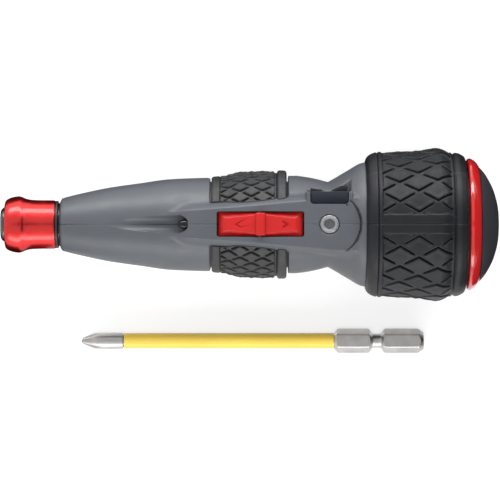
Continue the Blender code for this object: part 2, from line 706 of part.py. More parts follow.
def inner_room():
    """Everything that is hollow inside the housing, as one solid."""
    room = turned("room", cell_room_outline(), sides=SHAFT_SIDES)
    switch_room = box(
        "switch_room",
        (BOARD_X - FIT_GAP, -BOARD_HALF_WIDTH - FIT_GAP, CELL_RADIUS),
        (BOARD_STEP_X, BOARD_HALF_WIDTH + FIT_GAP, ROOF_UNDERSIDE),
    )
    port_room = box(
        "port_room",
        (BOARD_STEP_X - FIT_GAP, -BOARD_WIDE_LEFT - FIT_GAP, CELL_RADIUS),
        (BOARD_END_X + FIT_GAP, BOARD_WIDE_RIGHT + FIT_GAP, ROOF_UNDERSIDE),
    )
    wire_channel = box(
        "wire_channel",
        (BOARD_END_X, -WIRE_CHANNEL_HALF_WIDTH, CELL_RADIUS),
        (BALL_GRIP_END_X - RIB_LENGTH, WIRE_CHANNEL_HALF_WIDTH, CELL_RADIUS + WIRE_CHANNEL_HEIGHT),
    )
    for extra in (switch_room, port_room, wire_channel):
        join(room, extra)
    for name in SCREWS:
        x, z, _ = screw_place(name)
        reach = BALL_RADIUS
        cut(room, rod("boss", x, z, -reach, reach, SCREW_BOSS_RADIUS))
    return room


def cut_top_openings(housing):
    """Cut the rocker window, pin holes, lens hole, charging port, cover recess and headlight bore."""
    half_window = WINDOW_LENGTH / 2
    cut(housing, box(
        "window",
        (ROCKER_X - half_window, -WINDOW_WIDTH / 2, ROOF_UNDERSIDE - OVERRUN),
        (ROCKER_X + half_window, WINDOW_WIDTH / 2, PLATEAU_TOP + OVERRUN),
    ))
    pin_reach = ROCKER_PIN_LENGTH / 2 + FIT_GAP
    pin_room = ROCKER_PIN_RADIUS + RUNNING_GAP
    cut(housing, rod("pin_hole", ROCKER_X, ROCKER_Z, -pin_reach, pin_reach, pin_room))
    cut(housing, upright(
        "lens_hole", PORT_X, 0, ROOF_UNDERSIDE - OVERRUN, PLATEAU_TOP + OVERRUN, LENS_RADIUS + SHELL_GAP,
        SHAFT_SIDES,
    ))
    half_port = PORT_WIDTH / 2 + FIT_GAP
    cut(housing, box(
        "port_window",
        (PORT_X - half_port, BOARD_WIDE_RIGHT, PORT_Z - PORT_HEIGHT / 2 - FIT_GAP),
        (PORT_X + half_port, PORT_BLOCK_SIDE + OVERRUN, PORT_Z + PORT_HEIGHT / 2 + FIT_GAP),
    ))
    cut(housing, cover_form("cover_recess", SHELL_GAP, OVERRUN))
    round_end_x = BEAM_END_X - BEAM_RADIUS
    beam = circle(BEAM_RADIUS, SHAFT_SIDES, (0, BEAM_HEIGHT))
    cut(housing, prism("beam", beam, HOUSING_X, round_end_x))
    beam_floor = BEAM_HEIGHT - BEAM_RADIUS
    cut(housing, upright(
        "beam_end", round_end_x, 0, beam_floor, PLATEAU_TOP + OVERRUN, BEAM_RADIUS, SHAFT_SIDES
    ))
    lamp_space = circle(HEADLIGHT_RADIUS + SHELL_GAP, SMALL_SIDES, (0, BEAM_HEIGHT))
    cut(housing, prism("lamp_hole", lamp_space, round_end_x, BOARD_X))


def cover_form(name, grown=0, lift=0):
    """The port cover: a strip on top and a flap down the side, larger all round by a gap."""
    inner = PORT_BLOCK_SIDE - COVER_TOP_WIDTH - grown
    outer = PORT_BLOCK_SIDE + lift
    side_inner = PORT_BLOCK_SIDE - COVER_THICKNESS - grown
    top = PLATEAU_TOP + lift
    top_under = PLATEAU_TOP - COVER_THICKNESS - grown
    bottom = PLATEAU_TOP - COVER_HEIGHT - grown
    outline = [
        (inner, top), (inner, top_under), (side_inner, top_under), (side_inner, bottom), (outer, bottom),
        (outer, top),
    ]
    half = COVER_LENGTH / 2 + grown
    return prism(name, outline, PORT_X - half, PORT_X + half)


def whole_housing():
    """Both halves of the housing as one solid."""
    housing = turned("housing", housing_outline())
    join(housing, plateau_form("plateau"))
    block_end_x = PORT_BLOCK_X + PORT_BLOCK_LENGTH
    join(housing, box(
        "port_block", (PORT_BLOCK_X, 0, PLATEAU_TOP / 2), (block_end_x, PORT_BLOCK_SIDE, PLATEAU_TOP)
    ))
    pocket = loft("pocket", [
        [(x, y, height) for x, y in circle(POCKET_RADIUS + draft, BODY_SIDES, (PORT_X, 0))]
        for height, draft in ((PLATEAU_TOP, 0), (PLATEAU_TOP + POCKET_HEIGHT, POCKET_DRAFT))
    ])
    cut(housing, pocket)
    cut(housing, box(
        "plug_notch",
        (PORT_BLOCK_X, PORT_BLOCK_SIDE, PLUG_NOTCH_FLOOR),
        (block_end_x, BALL_RADIUS, PLATEAU_TOP + OVERRUN),
    ))
    room = inner_room()
    cut(housing, room)
    cut_top_openings(housing)
    for name in SCREWS:
        x, z, seat = screw_place(name)
        grip_end = SCREW_LENGTH - seat + FIT_GAP
        cut(housing, rod("screw_hole", x, z, -seat - OVERRUN, grip_end, SCREW_SHANK_RADIUS + RUNNING_GAP))
        cut(housing, rod("head_hole", x, z, -BALL_RADIUS, -seat, SCREW_HEAD_RADIUS + SHELL_GAP))
    return housing


def make_housing():
    housing = whole_housing()
    halves = [half_of(housing, "housing_left", -1), half_of(housing, "housing_right", 1)]
    bpy.data.objects.remove(housing)
    return halves


def make_front_grips():
    """Front rubber, in two pieces that run from the plateau's edges round to the parting line below."""
    start = GRIP_X + 2 * SHELL_GAP
    length = GRIP_END_X - SHELL_GAP - start
    outer = scaled_outline(FRONT_GRIP_OUTLINE_SHARES, start, length, FRONT_GRIP_RADIUS)
    seat = GRIP_SEAT_RADIUS + SHELL_GAP
    grip = turned("grip", outer + [(outer[-1][0], seat), (outer[0][0], seat)], closed=True)
    cut(grip, plateau_form("plateau_space", SHELL_GAP))
    halves = [half_of(grip, "front_grip_left", -1), half_of(grip, "front_grip_right", 1)]
    bpy.data.objects.remove(grip)
    return halves


def outline_radius(outline, x):
    """Radius of an outline of (x, radius) points at a place between them."""
    for (x_before, before), (x_after, after) in zip(outline, outline[1:]):
        if x <= x_after:
            break
    share = min(max((x - x_before) / (x_after - x_before), 0), 1)
    return before + share * (after - before)


def groove_share():
    """Half width of a groove between the ball grip's pads, as a share of the distance between grooves."""
    return PAD_GROOVE_HALF_WIDTH * math.hypot(1 / PAD_LENGTH, 1 / PAD_WIDTH)


def pad_height(x, arc, panel):
    """How far the ball grip stands out from its outline at a place on it; its pads and grooves lie below."""
    spans, point_x = panel
    inside = min(x - spans[0][0], spans[0][1] - x, arc - spans[1][0], spans[1][1] - arc)
    along = (x - point_x) / PAD_LENGTH
    across = (arc - PAD_POINT_FROM_SEAM) / PAD_WIDTH
    groove, tilt = 0, 0
    for line, run in ((across + along, across - along), (across - along, across + along)):
        reach = max(0, 1 - (run + groove_share() / 2) % 1 / PAD_GROOVE_REACH_SHARE)
        near = max(0, 1 - abs(line - round(line)) / groove_share())
        groove = max(groove, near * reach)
        tilt += (1 / 2 - line % 1) * (1 - near) * reach
    height = PAD_TILT * tilt - PAD_GROOVE_DEPTH * groove - PANEL_DEPTH
    return height * min(max(inside / PANEL_EDGE, 0), 1)


def cut_sheet(sheet, faces, place, direction):
    """Cut some faces of a flat sheet along a line, and return what they have become."""
    geometry = {*faces}
    for face in faces:
        geometry.update(face.edges, face.verts)
    cut_through = bmesh.ops.bisect_plane(
        sheet, geom=list(geometry), dist=WELD, plane_co=(*place, 0), plane_no=(*direction, 0)
    )
    return [item for item in cut_through["geom"] if isinstance(item, bmesh.types.BMFace)]


def cut_pads(sheet, faces, panel):
    """Cut a panel's faces along its rim and along the edges and grooves of its pads."""
    (x_span, arc_span), point_x = panel
    for x in (x_span[0] + PANEL_EDGE, x_span[1] - PANEL_EDGE):
        faces = cut_sheet(sheet, faces, (x, 0), (1, 0))
    for arc in (arc_span[0] + PANEL_EDGE, arc_span[1] - PANEL_EDGE):
        faces = cut_sheet(sheet, faces, (0, arc), (0, 1))
    reach = math.ceil((x_span[1] - x_span[0]) / PAD_LENGTH + (arc_span[1] - arc_span[0]) / PAD_WIDTH)
    for line in range(-reach, reach + 1):
        for offset in (-groove_share(), 0, groove_share()):
            for way in (1, -1):
                place = (point_x + way * (line + offset) * PAD_LENGTH, PAD_POINT_FROM_SEAM)
                faces = cut_sheet(sheet, faces, place, (way / PAD_LENGTH * PAD_WIDTH, 1))


def flat_grip(outer, inner, arc_end, panel):
    """The ball grip's half unrolled: a flat sheet with its seat below, and its face above cut into pads."""
    sheet = bmesh.new()
    start, end = outer[0][0], outer[-1][0]
    corners = [(start, 0), (end, 0), (end, arc_end), (start, arc_end)]
    low = [sheet.verts.new((*corner, -1)) for corner in corners]
    high = [sheet.verts.new((*corner, 1)) for corner in corners]
    seat, face = [sheet.faces.new(low[::-1])], [sheet.faces.new(high)]
    for k in range(4):
        after = (k + 1) % 4
        sheet.faces.new((low[k], low[after], high[after], high[k]))
    x_span, arc_span = panel[0]
    for x in (*x_span, *(x for x, _ in outer[1:-1])):
        face = cut_sheet(sheet, face, (x, 0), (1, 0))
    for arc in arc_span:
        face = cut_sheet(sheet, face, (0, arc), (0, 1))
    pads, band = [], []
    for part in face:
        x, arc, _ = part.calc_center_median()
        inside = x_span[0] < x < x_span[1] and arc_span[0] < arc < arc_span[1]
        (pads if inside else band).append(part)
    for x, _ in inner[1:-1]:
        seat = cut_sheet(sheet, seat, (x, 0), (1, 0))
    for k in range(1, GRIP_STEPS):
        band = cut_sheet(sheet, band, (0, arc_end * k / GRIP_STEPS), (0, 1))
        seat = cut_sheet(sheet, seat, (0, arc_end * k / GRIP_STEPS), (0, 1))
    cut_pads(sheet, pads, panel)
    bmesh.ops.triangulate(sheet, faces=[part for part in sheet.faces if abs(part.normal.z) > 1 / 2])
    return sheet


def padded_grip(name, side, outer, inner):
    """One half of the ball grip, wrapped from a flat sheet."""
    length = outer[-1][0] - outer[0][0]
    arc_end = math.pi * BALL_RADIUS
    x_span = [outer[0][0] + share * length for share in PANEL_SHARES]
    arc_span = [PANEL_SEAM_BAND, arc_end - PANEL_SEAM_BAND]
    panel = ((x_span, arc_span), outer[0][0] + PAD_POINT_SHARE * length)
    sheet = flat_grip(outer, inner, arc_end, panel)
    for vert in sheet.verts:
        x, arc, layer = vert.co
        if layer > 0:
            radius = outline_radius(outer, x) + pad_height(x, arc, panel)
        else:
            radius = outline_radius(inner, x)
        angle = arc / BALL_RADIUS
        vert.co = (x, side * radius * math.sin(angle), radius * math.cos(angle))
    grip = solid(name + "_whole", sheet)
    half = half_of(grip, name, side)
    bpy.data.objects.remove(grip)
    return half


def make_ball_grips():
    """Rubber over the ball, one piece on each half of the housing."""
    start = BALL_GRIP_X + SHELL_GAP
    length = BALL_GRIP_LENGTH - SHELL_GAP
    outer = scaled_outline(BALL_GRIP_OUTLINE_SHARES, start, length, BALL_RADIUS)
    seat = scaled_outline(BALL_SEAT_SHARES, start, length, BALL_RADIUS)
    inner = [(x, radius + SHELL_GAP) for x, radius in seat]
    return [padded_grip("ball_grip_left", -1, outer, inner), padded_grip("ball_grip_right", 1, outer, inner)]


def make_tail():
    """The red ring clamped round the housing's tail, and the domed end cap that holds it there."""
    ring = scaled_outline(TAIL_RING_OUTLINE_SHARES, TAIL_RING_X, TAIL_RING_LENGTH, TAIL_RING_RADIUS)
    bore = SPIGOT_RADIUS + SHELL_GAP
    tail_ring = turned("tail_ring", ring + [(ring[-1][0], bore), (ring[0][0], bore)], closed=True)
    skirt = SPIGOT_BORE - SHELL_GAP
    skirt_x = CAP_X - CAP_SKIRT_LENGTH
    skirt_inner = skirt - CAP_SKIRT_WALL
    inner_height = CAP_HEIGHT - CAP_WALL
    dome = []
    under = []
    for k in range(CAP_RINGS):
        angle = math.pi / 2 * k / CAP_RINGS
        dome.append((CAP_X + CAP_HEIGHT * math.sin(angle), CAP_RADIUS * math.cos(angle)))
        under.append((CAP_X + inner_height * math.sin(angle), skirt_inner * math.cos(angle)))
    top = CAP_X + CAP_HEIGHT
    stud_x = CELL_END_X + FIT_GAP
    under = [point for point in under if point[1] > CAP_STUD_RADIUS]
    skirt_edge = [(skirt_x, skirt_inner), (skirt_x, skirt), (CAP_X, skirt)]
    cap = turned("tail_cap", [(stud_x, CAP_STUD_RADIUS)] + under[::-1] + skirt_edge + dome + [(top, 0)])
    cut(cap, box(
        "wire_notch", (skirt_x - OVERRUN, -WIRE_CHANNEL_HALF_WIDTH, CELL_RADIUS - WIRE_CHANNEL_HEIGHT),
        (CAP_X, WIRE_CHANNEL_HALF_WIDTH, skirt + OVERRUN),
    ))
    return [tail_ring, cap]


def make_screws():
    """Housing screws with a cross recess, driven in from the left side."""
    screws = []
    for name in SCREWS:
        x, z, seat = screw_place(name)
        head_y = -seat - RUNNING_GAP
        face_y = head_y - SCREW_HEAD_HEIGHT
        screw = rod("housing_screw_" + name, x, z, face_y, head_y, SCREW_HEAD_RADIUS)
        shank_y = head_y - SCREW_HEAD_HEIGHT / 2
        join(screw, rod("shank", x, z, shank_y, head_y + SCREW_LENGTH, SCREW_SHANK_RADIUS))
        long_side = SCREW_HEAD_RADIUS * SCREW_RECESS_SHARE
        short_side = SCREW_RECESS_WIDTH / 2
        for half_x, half_z in ((long_side, short_side), (short_side, long_side)):
            cut(screw, box(
                "recess",
                (x - half_x, face_y - OVERRUN, z - half_z),
                (x + half_x, face_y + SCREW_RECESS_DEPTH, z + half_z),
            ))
        screws.append(set_origin(screw, (x, head_y, z)))
    return screws


# Bit holder and release sleeve

def hexagon(flats):
    """A hexagon with a flat side on top and one below."""
    return circle(flats / math.sqrt(3), 6, turn=0)


def make_bit_holder():
    """The turning bit holder with its hex socket, ball hole, ring grooves, collar and tail."""
    ring_x = NOSE_X + RING_SETBACK
    ring_end = ring_x + RING_WIRE + RUNNING_GAP
    groove = HOLDER_RADIUS - RING_DEPTH - RUNNING_GAP
    clip_groove = HOLDER_RADIUS - CLIP_DEPTH - RUNNING_GAP
    clip_end_x = CLIP_X + CLIP_THICKNESS + RUNNING_GAP
    holder = turned("bit_holder", [
        (NOSE_X, HOLDER_RADIUS - HOLDER_CHAMFER), (NOSE_X + HOLDER_CHAMFER, HOLDER_RADIUS),
        (ring_x, HOLDER_RADIUS), (ring_x, groove), (ring_end, groove), (ring_end, HOLDER_RADIUS),
        (COLLAR_X, HOLDER_RADIUS), (COLLAR_X, COLLAR_RADIUS),
        (COLLAR_X + COLLAR_LENGTH, COLLAR_RADIUS), (COLLAR_X + COLLAR_LENGTH, HOLDER_RADIUS),
        (CLIP_X, HOLDER_RADIUS), (CLIP_X, clip_groove), (clip_end_x, clip_groove),
        (clip_end_x, HOLDER_RADIUS), (SHOULDER_X, HOLDER_RADIUS), (SHOULDER_X, TAIL_RADIUS),
        (RING_GEAR_X - RUNNING_GAP, TAIL_RADIUS),
    ], sides=SHAFT_SIDES)
    cut(holder, prism("socket", hexagon(SOCKET_FLATS), NOSE_X - OVERRUN, 0))
    flare = SOCKET_FLATS / math.sqrt(3)
    cut(holder, turned("mouth", [
        (NOSE_X - OVERRUN, flare + OVERRUN), (NOSE_X + SOCKET_CHAMFER, flare - SOCKET_CHAMFER)
    ], sides=SHAFT_SIDES))
    pocket = MAGNET_RADIUS + RUNNING_GAP
    pocket_end_x = MAGNET_LENGTH + RUNNING_GAP
    cut(holder, turned("magnet_pocket", [(-OVERRUN, pocket), (pocket_end_x, pocket)], sides=SMALL_SIDES))
    ball_stations = (
        (0, LOCK_HOLE_INNER), (SOCKET_FLATS / 2, LOCK_HOLE_INNER),
        (HOLDER_RADIUS + RUNNING_GAP, LOCK_HOLE_OUTER),
    )
    cut(holder, loft("ball_hole", [
        [(x, y, height) for x, y in circle(radius, SMALL_SIDES, (LOCK_BALL_X, 0))]
        for height, radius in ball_stations
    ]))
    return holder


def make_holder_parts():
    """Magnet, retaining ball, washer, snap ring, clip and stop ring carried by the bit holder."""
    magnet = turned("seat_magnet", [(0, MAGNET_RADIUS), (MAGNET_LENGTH, MAGNET_RADIUS)], sides=SMALL_SIDES)
    ring_x = NOSE_X + RING_SETBACK + RUNNING_GAP / 2
    snap_ring = tube(
        "nose_snap_ring", ring_x, ring_x + RING_WIRE, RING_RADIUS, HOLDER_RADIUS - RING_DEPTH,
        sides=SHAFT_SIDES,
    )
    gap = RING_WIRE + RING_DEPTH
    cut(snap_ring, box(
        "ring_gap", (ring_x - OVERRUN, -gap, 0), (ring_x + OVERRUN, gap, RING_RADIUS + OVERRUN)
    ))
    washer_x = ring_x + RING_WIRE + RUNNING_GAP
    washer = tube(
        "sleeve_washer", washer_x, washer_x + WASHER_THICKNESS, WASHER_RADIUS, HOLDER_RADIUS + RUNNING_GAP,
        sides=SHAFT_SIDES,
    )
    clip = tube(
        "holder_clip", CLIP_X + RUNNING_GAP / 2, CLIP_X + RUNNING_GAP / 2 + CLIP_THICKNESS, CLIP_RADIUS,
        HOLDER_RADIUS - CLIP_DEPTH, sides=SHAFT_SIDES,
    )
    opening = HOLDER_RADIUS * CLIP_MOUTH_SHARE
    cut(clip, box(
        "clip_gap", (CLIP_X - OVERRUN, -opening, 0), (CLIP_X + OVERRUN, opening, CLIP_RADIUS + OVERRUN)
    ))
    stop_ring = tube(
        "stop_ring", STOP_RING_X, STOP_RING_X + STOP_RING_LENGTH, STOP_RING_RADIUS,
        HOLDER_RADIUS + RUNNING_GAP, sides=SHAFT_SIDES,
    )
    return [magnet, snap_ring, washer, clip, stop_ring]


def make_ball():
    """The retaining ball in its hole."""
    builder = bmesh.new()
    bmesh.ops.create_uvsphere(builder, u_segments=12, v_segments=8, radius=LOCK_BALL_RADIUS)
    ball = solid("retaining_ball", builder)
    ball.location = (LOCK_BALL_X, 0, LOCK_BALL_Z)
    return ball


def sleeve_stations():
    """Places and radii of the sleeve's bore: spring room, land over the ball, ramp and rear guide."""
    land = LOCK_BALL_REACH + 2 * LOCK_BALL_RADIUS + LAND_GAP
    land_x = LOCK_BALL_X - LAND_LENGTH
    ramp_x = LOCK_BALL_X
    guide_x = SLEEVE_END_X - GUIDE_LENGTH
    return land, land_x, ramp_x, guide_x


def make_sleeve():
    """The release sleeve, with its land over the ball and a ramp behind it that lets the ball out."""
    land, land_x, ramp_x, guide_x = sleeve_stations()
    recess = land + LOCK_BALL_TRAVEL + LAND_GAP
    outer = scaled_outline(SLEEVE_OUTLINE_SHARES, SLEEVE_X, SLEEVE_LENGTH, SLEEVE_RADIUS)
    guide = HOLDER_RADIUS + RUNNING_GAP
    bore = [
        (SLEEVE_END_X, guide), (guide_x, guide), (guide_x, recess), (ramp_x + RAMP_LENGTH, recess),
        (ramp_x, land), (land_x, land), (land_x, SLEEVE_MOUTH_RADIUS), (SLEEVE_X, SLEEVE_MOUTH_RADIUS),
    ]
    return turned("release_sleeve", outer + bore, closed=True, sides=SHAFT_SIDES)


def make_sleeve_spring():
    """The spring between the nose washer and the sleeve's land, as one wire on a helix."""
    _, land_x, _, _ = sleeve_stations()
    washer_end = NOSE_X + RING_SETBACK + RUNNING_GAP / 2 + RING_WIRE + RUNNING_GAP + WASHER_THICKNESS
    start = washer_end + SPRING_WIRE / 2 + STOP_GAP
    end = land_x - SPRING_WIRE / 2 - STOP_GAP
    middle = (HOLDER_RADIUS + SLEEVE_MOUTH_RADIUS) / 2
    steps = round(SPRING_TURNS * SPRING_POINTS_PER_TURN)
    points = []
    for k in range(steps + 1):
        angle = math.tau * SPRING_TURNS * k / steps
        points.append((start + (end - start) * k / steps, middle * math.cos(angle), middle * math.sin(angle)))
    return wire("sleeve_spring", points, SPRING_WIRE / 2)


def wire(name, points, radius):
    """A round wire through a list of points, with closed ends."""
    curve = bpy.data.curves.new(name, "CURVE")
    curve.dimensions = "3D"
    curve.bevel_depth = radius
    curve.bevel_resolution = 1
    curve.use_fill_caps = True
    spline = curve.splines.new("POLY")
    spline.points.add(len(points) - 1)
    for place, point in zip(spline.points, points):
        place.co = (*point, 1)
    piece = bpy.data.objects.new(name, curve)
    bpy.context.scene.collection.objects.link(piece)
    return piece


# Gearbox

def make_gear_case():
    """Front bush, gearbox nose, ring gear and motor plate, which stay still in the housing."""
    bush = tube("front_bush", BUSH_X, BUSH_END_X, BUSH_RADIUS, BUSH_BORE, sides=SHAFT_SIDES)
    bore = TAIL_RADIUS + RUNNING_GAP
    plate_room = CARRIER_RADIUS + FIT_GAP
    nose_end = RING_GEAR_X - RUNNING_GAP
    nose = turned("gearbox_nose", [
        (GEAR_NOSE_X, bore), (GEAR_NOSE_X, GEAR_NOSE_RADIUS),
        (nose_end - CARRIER_THICKNESS, GEAR_CASE_RADIUS), (nose_end, GEAR_CASE_RADIUS),
        (nose_end, plate_room), (OUTPUT_PLATE_X - FIT_GAP, plate_room), (OUTPUT_PLATE_X - FIT_GAP, bore),
    ], closed=True, sides=SHAFT_SIDES)
    ring_tip = MODULE * (RING_TEETH / 2 - ADDENDUM_SHARE)
    ring_end = MOTOR_PLATE_X - RUNNING_GAP
    ring_gear = prism("ring_gear", circle(GEAR_CASE_RADIUS, BODY_SIDES), RING_GEAR_X, ring_end)
    spaces = gear_outline(
        RING_TEETH, RING_ROOT, ring_tip, -BACKLASH_SHARE * MODULE, math.pi / RING_TEETH, flank_points=2
    )
    cut(ring_gear, prism("ring_spaces", spaces, RING_GEAR_X - OVERRUN, ring_end + OVERRUN))
    plate = tube(
        "motor_plate", MOTOR_PLATE_X, MOTOR_PLATE_END_X, GEAR_CASE_RADIUS, CAN_BOSS_RADIUS + RUNNING_GAP,
        sides=SHAFT_SIDES,
    )
    return [bush, nose, ring_gear, plate]


def carrier(name, plate_x, bore=0):
    """A planet carrier: a round plate with one pin for each planet."""
    plate_end = plate_x + CARRIER_THICKNESS
    if bore:
        piece = tube(name, plate_x, plate_end, CARRIER_RADIUS, bore, sides=SHAFT_SIDES)
    else:
        piece = turned(name, [(plate_x, CARRIER_RADIUS), (plate_end, CARRIER_RADIUS)], sides=SHAFT_SIDES)
    for angle, _ in planet_places():
        centre = (PLANET_ORBIT * math.cos(angle), PLANET_ORBIT * math.sin(angle))
        join(piece, prism(
            "pin", circle(PIN_RADIUS, SMALL_SIDES, centre), plate_x + CARRIER_THICKNESS / 2,
            plate_end + FIT_GAP + FACE_WIDTH,
        ))
    return piece


def make_carriers():
    """The output carrier on the bit holder's tail, and the first carrier with the second sun gear."""
    output = carrier("output_carrier", OUTPUT_PLATE_X, TAIL_RADIUS + RUNNING_GAP)
    first = carrier("first_carrier", INPUT_PLATE_X)
    sun_teeth = outer_teeth(SUN_TEETH, sun_phase())
    join(first, prism("sun", sun_teeth, OUTPUT_PLANET_X, INPUT_PLATE_X + CARRIER_THICKNESS / 2))
    return output, first


def make_planets(stage, x):
    """One stage's planet gears, each on its own axis and turned into mesh."""
    gear = prism("planet", outer_teeth(PLANET_TEETH, 0), 0, FACE_WIDTH)
    bore = circle(PIN_RADIUS + RUNNING_GAP, SMALL_SIDES)
    cut(gear, prism("bore", bore, -OVERRUN, FACE_WIDTH + OVERRUN))
    planets = []
    for letter, (angle, turn) in zip("abc", planet_places()):
        planet = copy_of(gear, "%s_planet_%s" % (stage, letter))
        planet.location = (x, PLANET_ORBIT * math.cos(angle), PLANET_ORBIT * math.sin(angle))
        planet.rotation_euler = (turn, 0, 0)
        planets.append(planet)
    bpy.data.objects.remove(gear)
    return planets


# Motor and cell

def flatted(piece, flats, start, end):
    """Cut a round piece down to two flats, above and below."""
    reach = MOTOR_RADIUS + OVERRUN
    return keep_inside(piece, box(
        "flats", (start - OVERRUN, -reach, -flats / 2), (end + OVERRUN, reach, flats / 2)
    ))


def make_motor_case():
    """Motor can, its end bell and the two field magnets."""
    can = turned("motor_can", [(CAN_X, MOTOR_RADIUS), (CAN_END_X, MOTOR_RADIUS)], sides=SHAFT_SIDES)
    flatted(can, MOTOR_FLATS, CAN_X, CAN_END_X)
    boss_x = CAN_X - CAN_BOSS_LENGTH
    join(can, turned("boss", [
        (boss_x, CAN_BOSS_RADIUS), (CAN_X + CAN_WALL, CAN_BOSS_RADIUS)
    ], sides=SHAFT_SIDES))
    inner = MOTOR_RADIUS - CAN_WALL
    room = turned("can_room", [(CAN_X + CAN_WALL, inner), (CAN_END_X + OVERRUN, inner)], sides=SHAFT_SIDES)
    cut(can, flatted(room, MOTOR_FLATS - 2 * CAN_WALL, CAN_X, CAN_END_X + OVERRUN))
    shaft_room = SHAFT_RADIUS + RUNNING_GAP
    cut(can, turned("shaft_hole", [
        (boss_x - OVERRUN, shaft_room), (CAN_X + OVERRUN, shaft_room)
    ], sides=SMALL_SIDES))
    bell = turned("motor_end_bell", [
        (END_BELL_X, MOTOR_RADIUS), (END_BELL_END_X, MOTOR_RADIUS)
    ], sides=SHAFT_SIDES)
    flatted(bell, MOTOR_FLATS, END_BELL_X, END_BELL_END_X)
    cut(bell, turned("shaft_hole", [
        (END_BELL_X - OVERRUN, shaft_room), (END_BELL_END_X + OVERRUN, shaft_room)
    ], sides=SMALL_SIDES))
    outer = inner - RUNNING_GAP
    magnet_x = CAN_X + CAN_WALL + FIT_GAP
    magnets = []
    for name, side in (("field_magnet_left", -1), ("field_magnet_right", 1)):
        outline = []
        for radius, order in ((outer, 1), (outer - FIELD_MAGNET_THICKNESS, -1)):
            arc = [MAGNET_ARC * (k / 8 - 0.5) for k in range(9)]
            outline += [(side * radius * math.cos(angle), radius * math.sin(angle)) for angle in arc[::order]]
        magnets.append(prism(name, outline, magnet_x, magnet_x + FIELD_MAGNET_LENGTH))
    return [can, bell] + magnets


def armature_outline():
    """Three T-shaped poles round a hub."""
    tip = MOTOR_FLATS / 2 - CAN_WALL - FIT_GAP
    neck = tip * ARMATURE_NECK_SHARE
    shoe = tip * ARMATURE_SHOE_SHARE
    pole_step = math.tau / ARMATURE_POLES
    shoe_half = pole_step * ARMATURE_NECK_SHARE
    neck_half = pole_step * ARMATURE_NECK_SHARE / 3
    points = []
    for pole in range(ARMATURE_POLES):
        middle = math.pi / 2 + pole * pole_step
        stem = [(neck, -shoe_half), (neck, -neck_half), (shoe, -neck_half * neck / shoe), (shoe, -shoe_half)]
        face = [(tip, -shoe_half + 2 * shoe_half * k / 6) for k in range(7)]
        back = [(radius, -angle) for radius, angle in reversed(stem)]
        points += [
            (radius * math.cos(middle + angle), radius * math.sin(middle + angle))
            for radius, angle in stem + face + back
        ]
    return points


def make_rotor():
    """Motor shaft with its pinion, armature and commutator."""
    pinion_x = INPUT_PLANET_X
    pinion = prism("motor_pinion", outer_teeth(SUN_TEETH, sun_phase()), pinion_x, pinion_x + FACE_WIDTH)
    bore = circle(SHAFT_RADIUS + RUNNING_GAP, SMALL_SIDES)
    cut(pinion, prism("bore", bore, pinion_x - OVERRUN, pinion_x + FACE_WIDTH + OVERRUN))
    shaft_end_x = END_BELL_END_X + SHAFT_STUB
    shaft = turned("motor_shaft", [(pinion_x, SHAFT_RADIUS), (shaft_end_x, SHAFT_RADIUS)], sides=SMALL_SIDES)
    armature_x = CAN_X + CAN_WALL + FIT_GAP + (FIELD_MAGNET_LENGTH - ARMATURE_LENGTH) / 2
    armature = prism("armature", armature_outline(), armature_x, armature_x + ARMATURE_LENGTH)
    cut(armature, prism("bore", bore, armature_x - OVERRUN, armature_x + ARMATURE_LENGTH + OVERRUN))
    commutator_x = END_BELL_X - FIT_GAP - COMMUTATOR_LENGTH
    commutator = tube(
        "commutator", commutator_x, commutator_x + COMMUTATOR_LENGTH, COMMUTATOR_RADIUS,
        SHAFT_RADIUS + RUNNING_GAP, sides=SMALL_SIDES,
    )
    return [shaft, pinion, armature, commutator]


def make_cell():
    """The round battery cell, with its raised front terminal."""
    body_x = CELL_X + CELL_BUTTON_HEIGHT
    return turned("battery_cell", [
        (CELL_X, CELL_BUTTON_RADIUS), (body_x, CELL_BUTTON_RADIUS), (body_x, CELL_RADIUS - CELL_EDGE),
        (body_x + CELL_EDGE, CELL_RADIUS), (CELL_END_X - CELL_EDGE, CELL_RADIUS),
        (CELL_END_X, CELL_RADIUS - CELL_EDGE),
    ], sides=SHAFT_SIDES)


# Circuit board, switch, port, lamps and wires

def make_board():
    """The circuit board, wider at the charging port."""
    step = BOARD_STEP_X + FIT_GAP
    outline = [
        (BOARD_X, -BOARD_HALF_WIDTH), (step, -BOARD_HALF_WIDTH), (step, -BOARD_WIDE_LEFT),
        (BOARD_END_X, -BOARD_WIDE_LEFT), (BOARD_END_X, BOARD_WIDE_RIGHT), (step, BOARD_WIDE_RIGHT),
        (step, BOARD_HALF_WIDTH), (BOARD_X, BOARD_HALF_WIDTH),
    ]
    return prism("circuit_board", outline, BOARD_Z, BOARD_TOP, axis="Z")


def port_section(grown):
    """Cross section of the charging port, as (z, x) points."""
    half_height = PORT_HEIGHT / 2 + grown
    half_width = PORT_WIDTH / 2 + grown
    return rounded_box(half_height, half_width, half_height * PORT_CORNER_SHARE, (PORT_Z, PORT_X))


def make_port():
    """The charging port's metal shell, with its contact tongue on the rear wall."""
    back = PORT_MOUTH_Y - PORT_DEPTH
    port = prism("charging_port", port_section(0), back, PORT_MOUTH_Y, axis="Y")
    inside = port_section(-PORT_WALL)
    cut(port, prism("port_space", inside, back + 2 * PORT_WALL, PORT_MOUTH_Y + OVERRUN, axis="Y"))
    join(port, box(
        "tongue",
        (PORT_X - TONGUE_WIDTH / 2, back + PORT_WALL, PORT_Z - TONGUE_THICKNESS / 2),
        (PORT_X + TONGUE_WIDTH / 2, back + 2 * PORT_WALL + TONGUE_LENGTH, PORT_Z + TONGUE_THICKNESS / 2),
    ))
    return port


def make_cover():
    """The rubber cover of the charging port, hinged along its inner top edge."""
    cover = cover_form("port_cover")
    return set_origin(cover, (PORT_X, PORT_BLOCK_SIDE - COVER_TOP_WIDTH, PLATEAU_TOP))


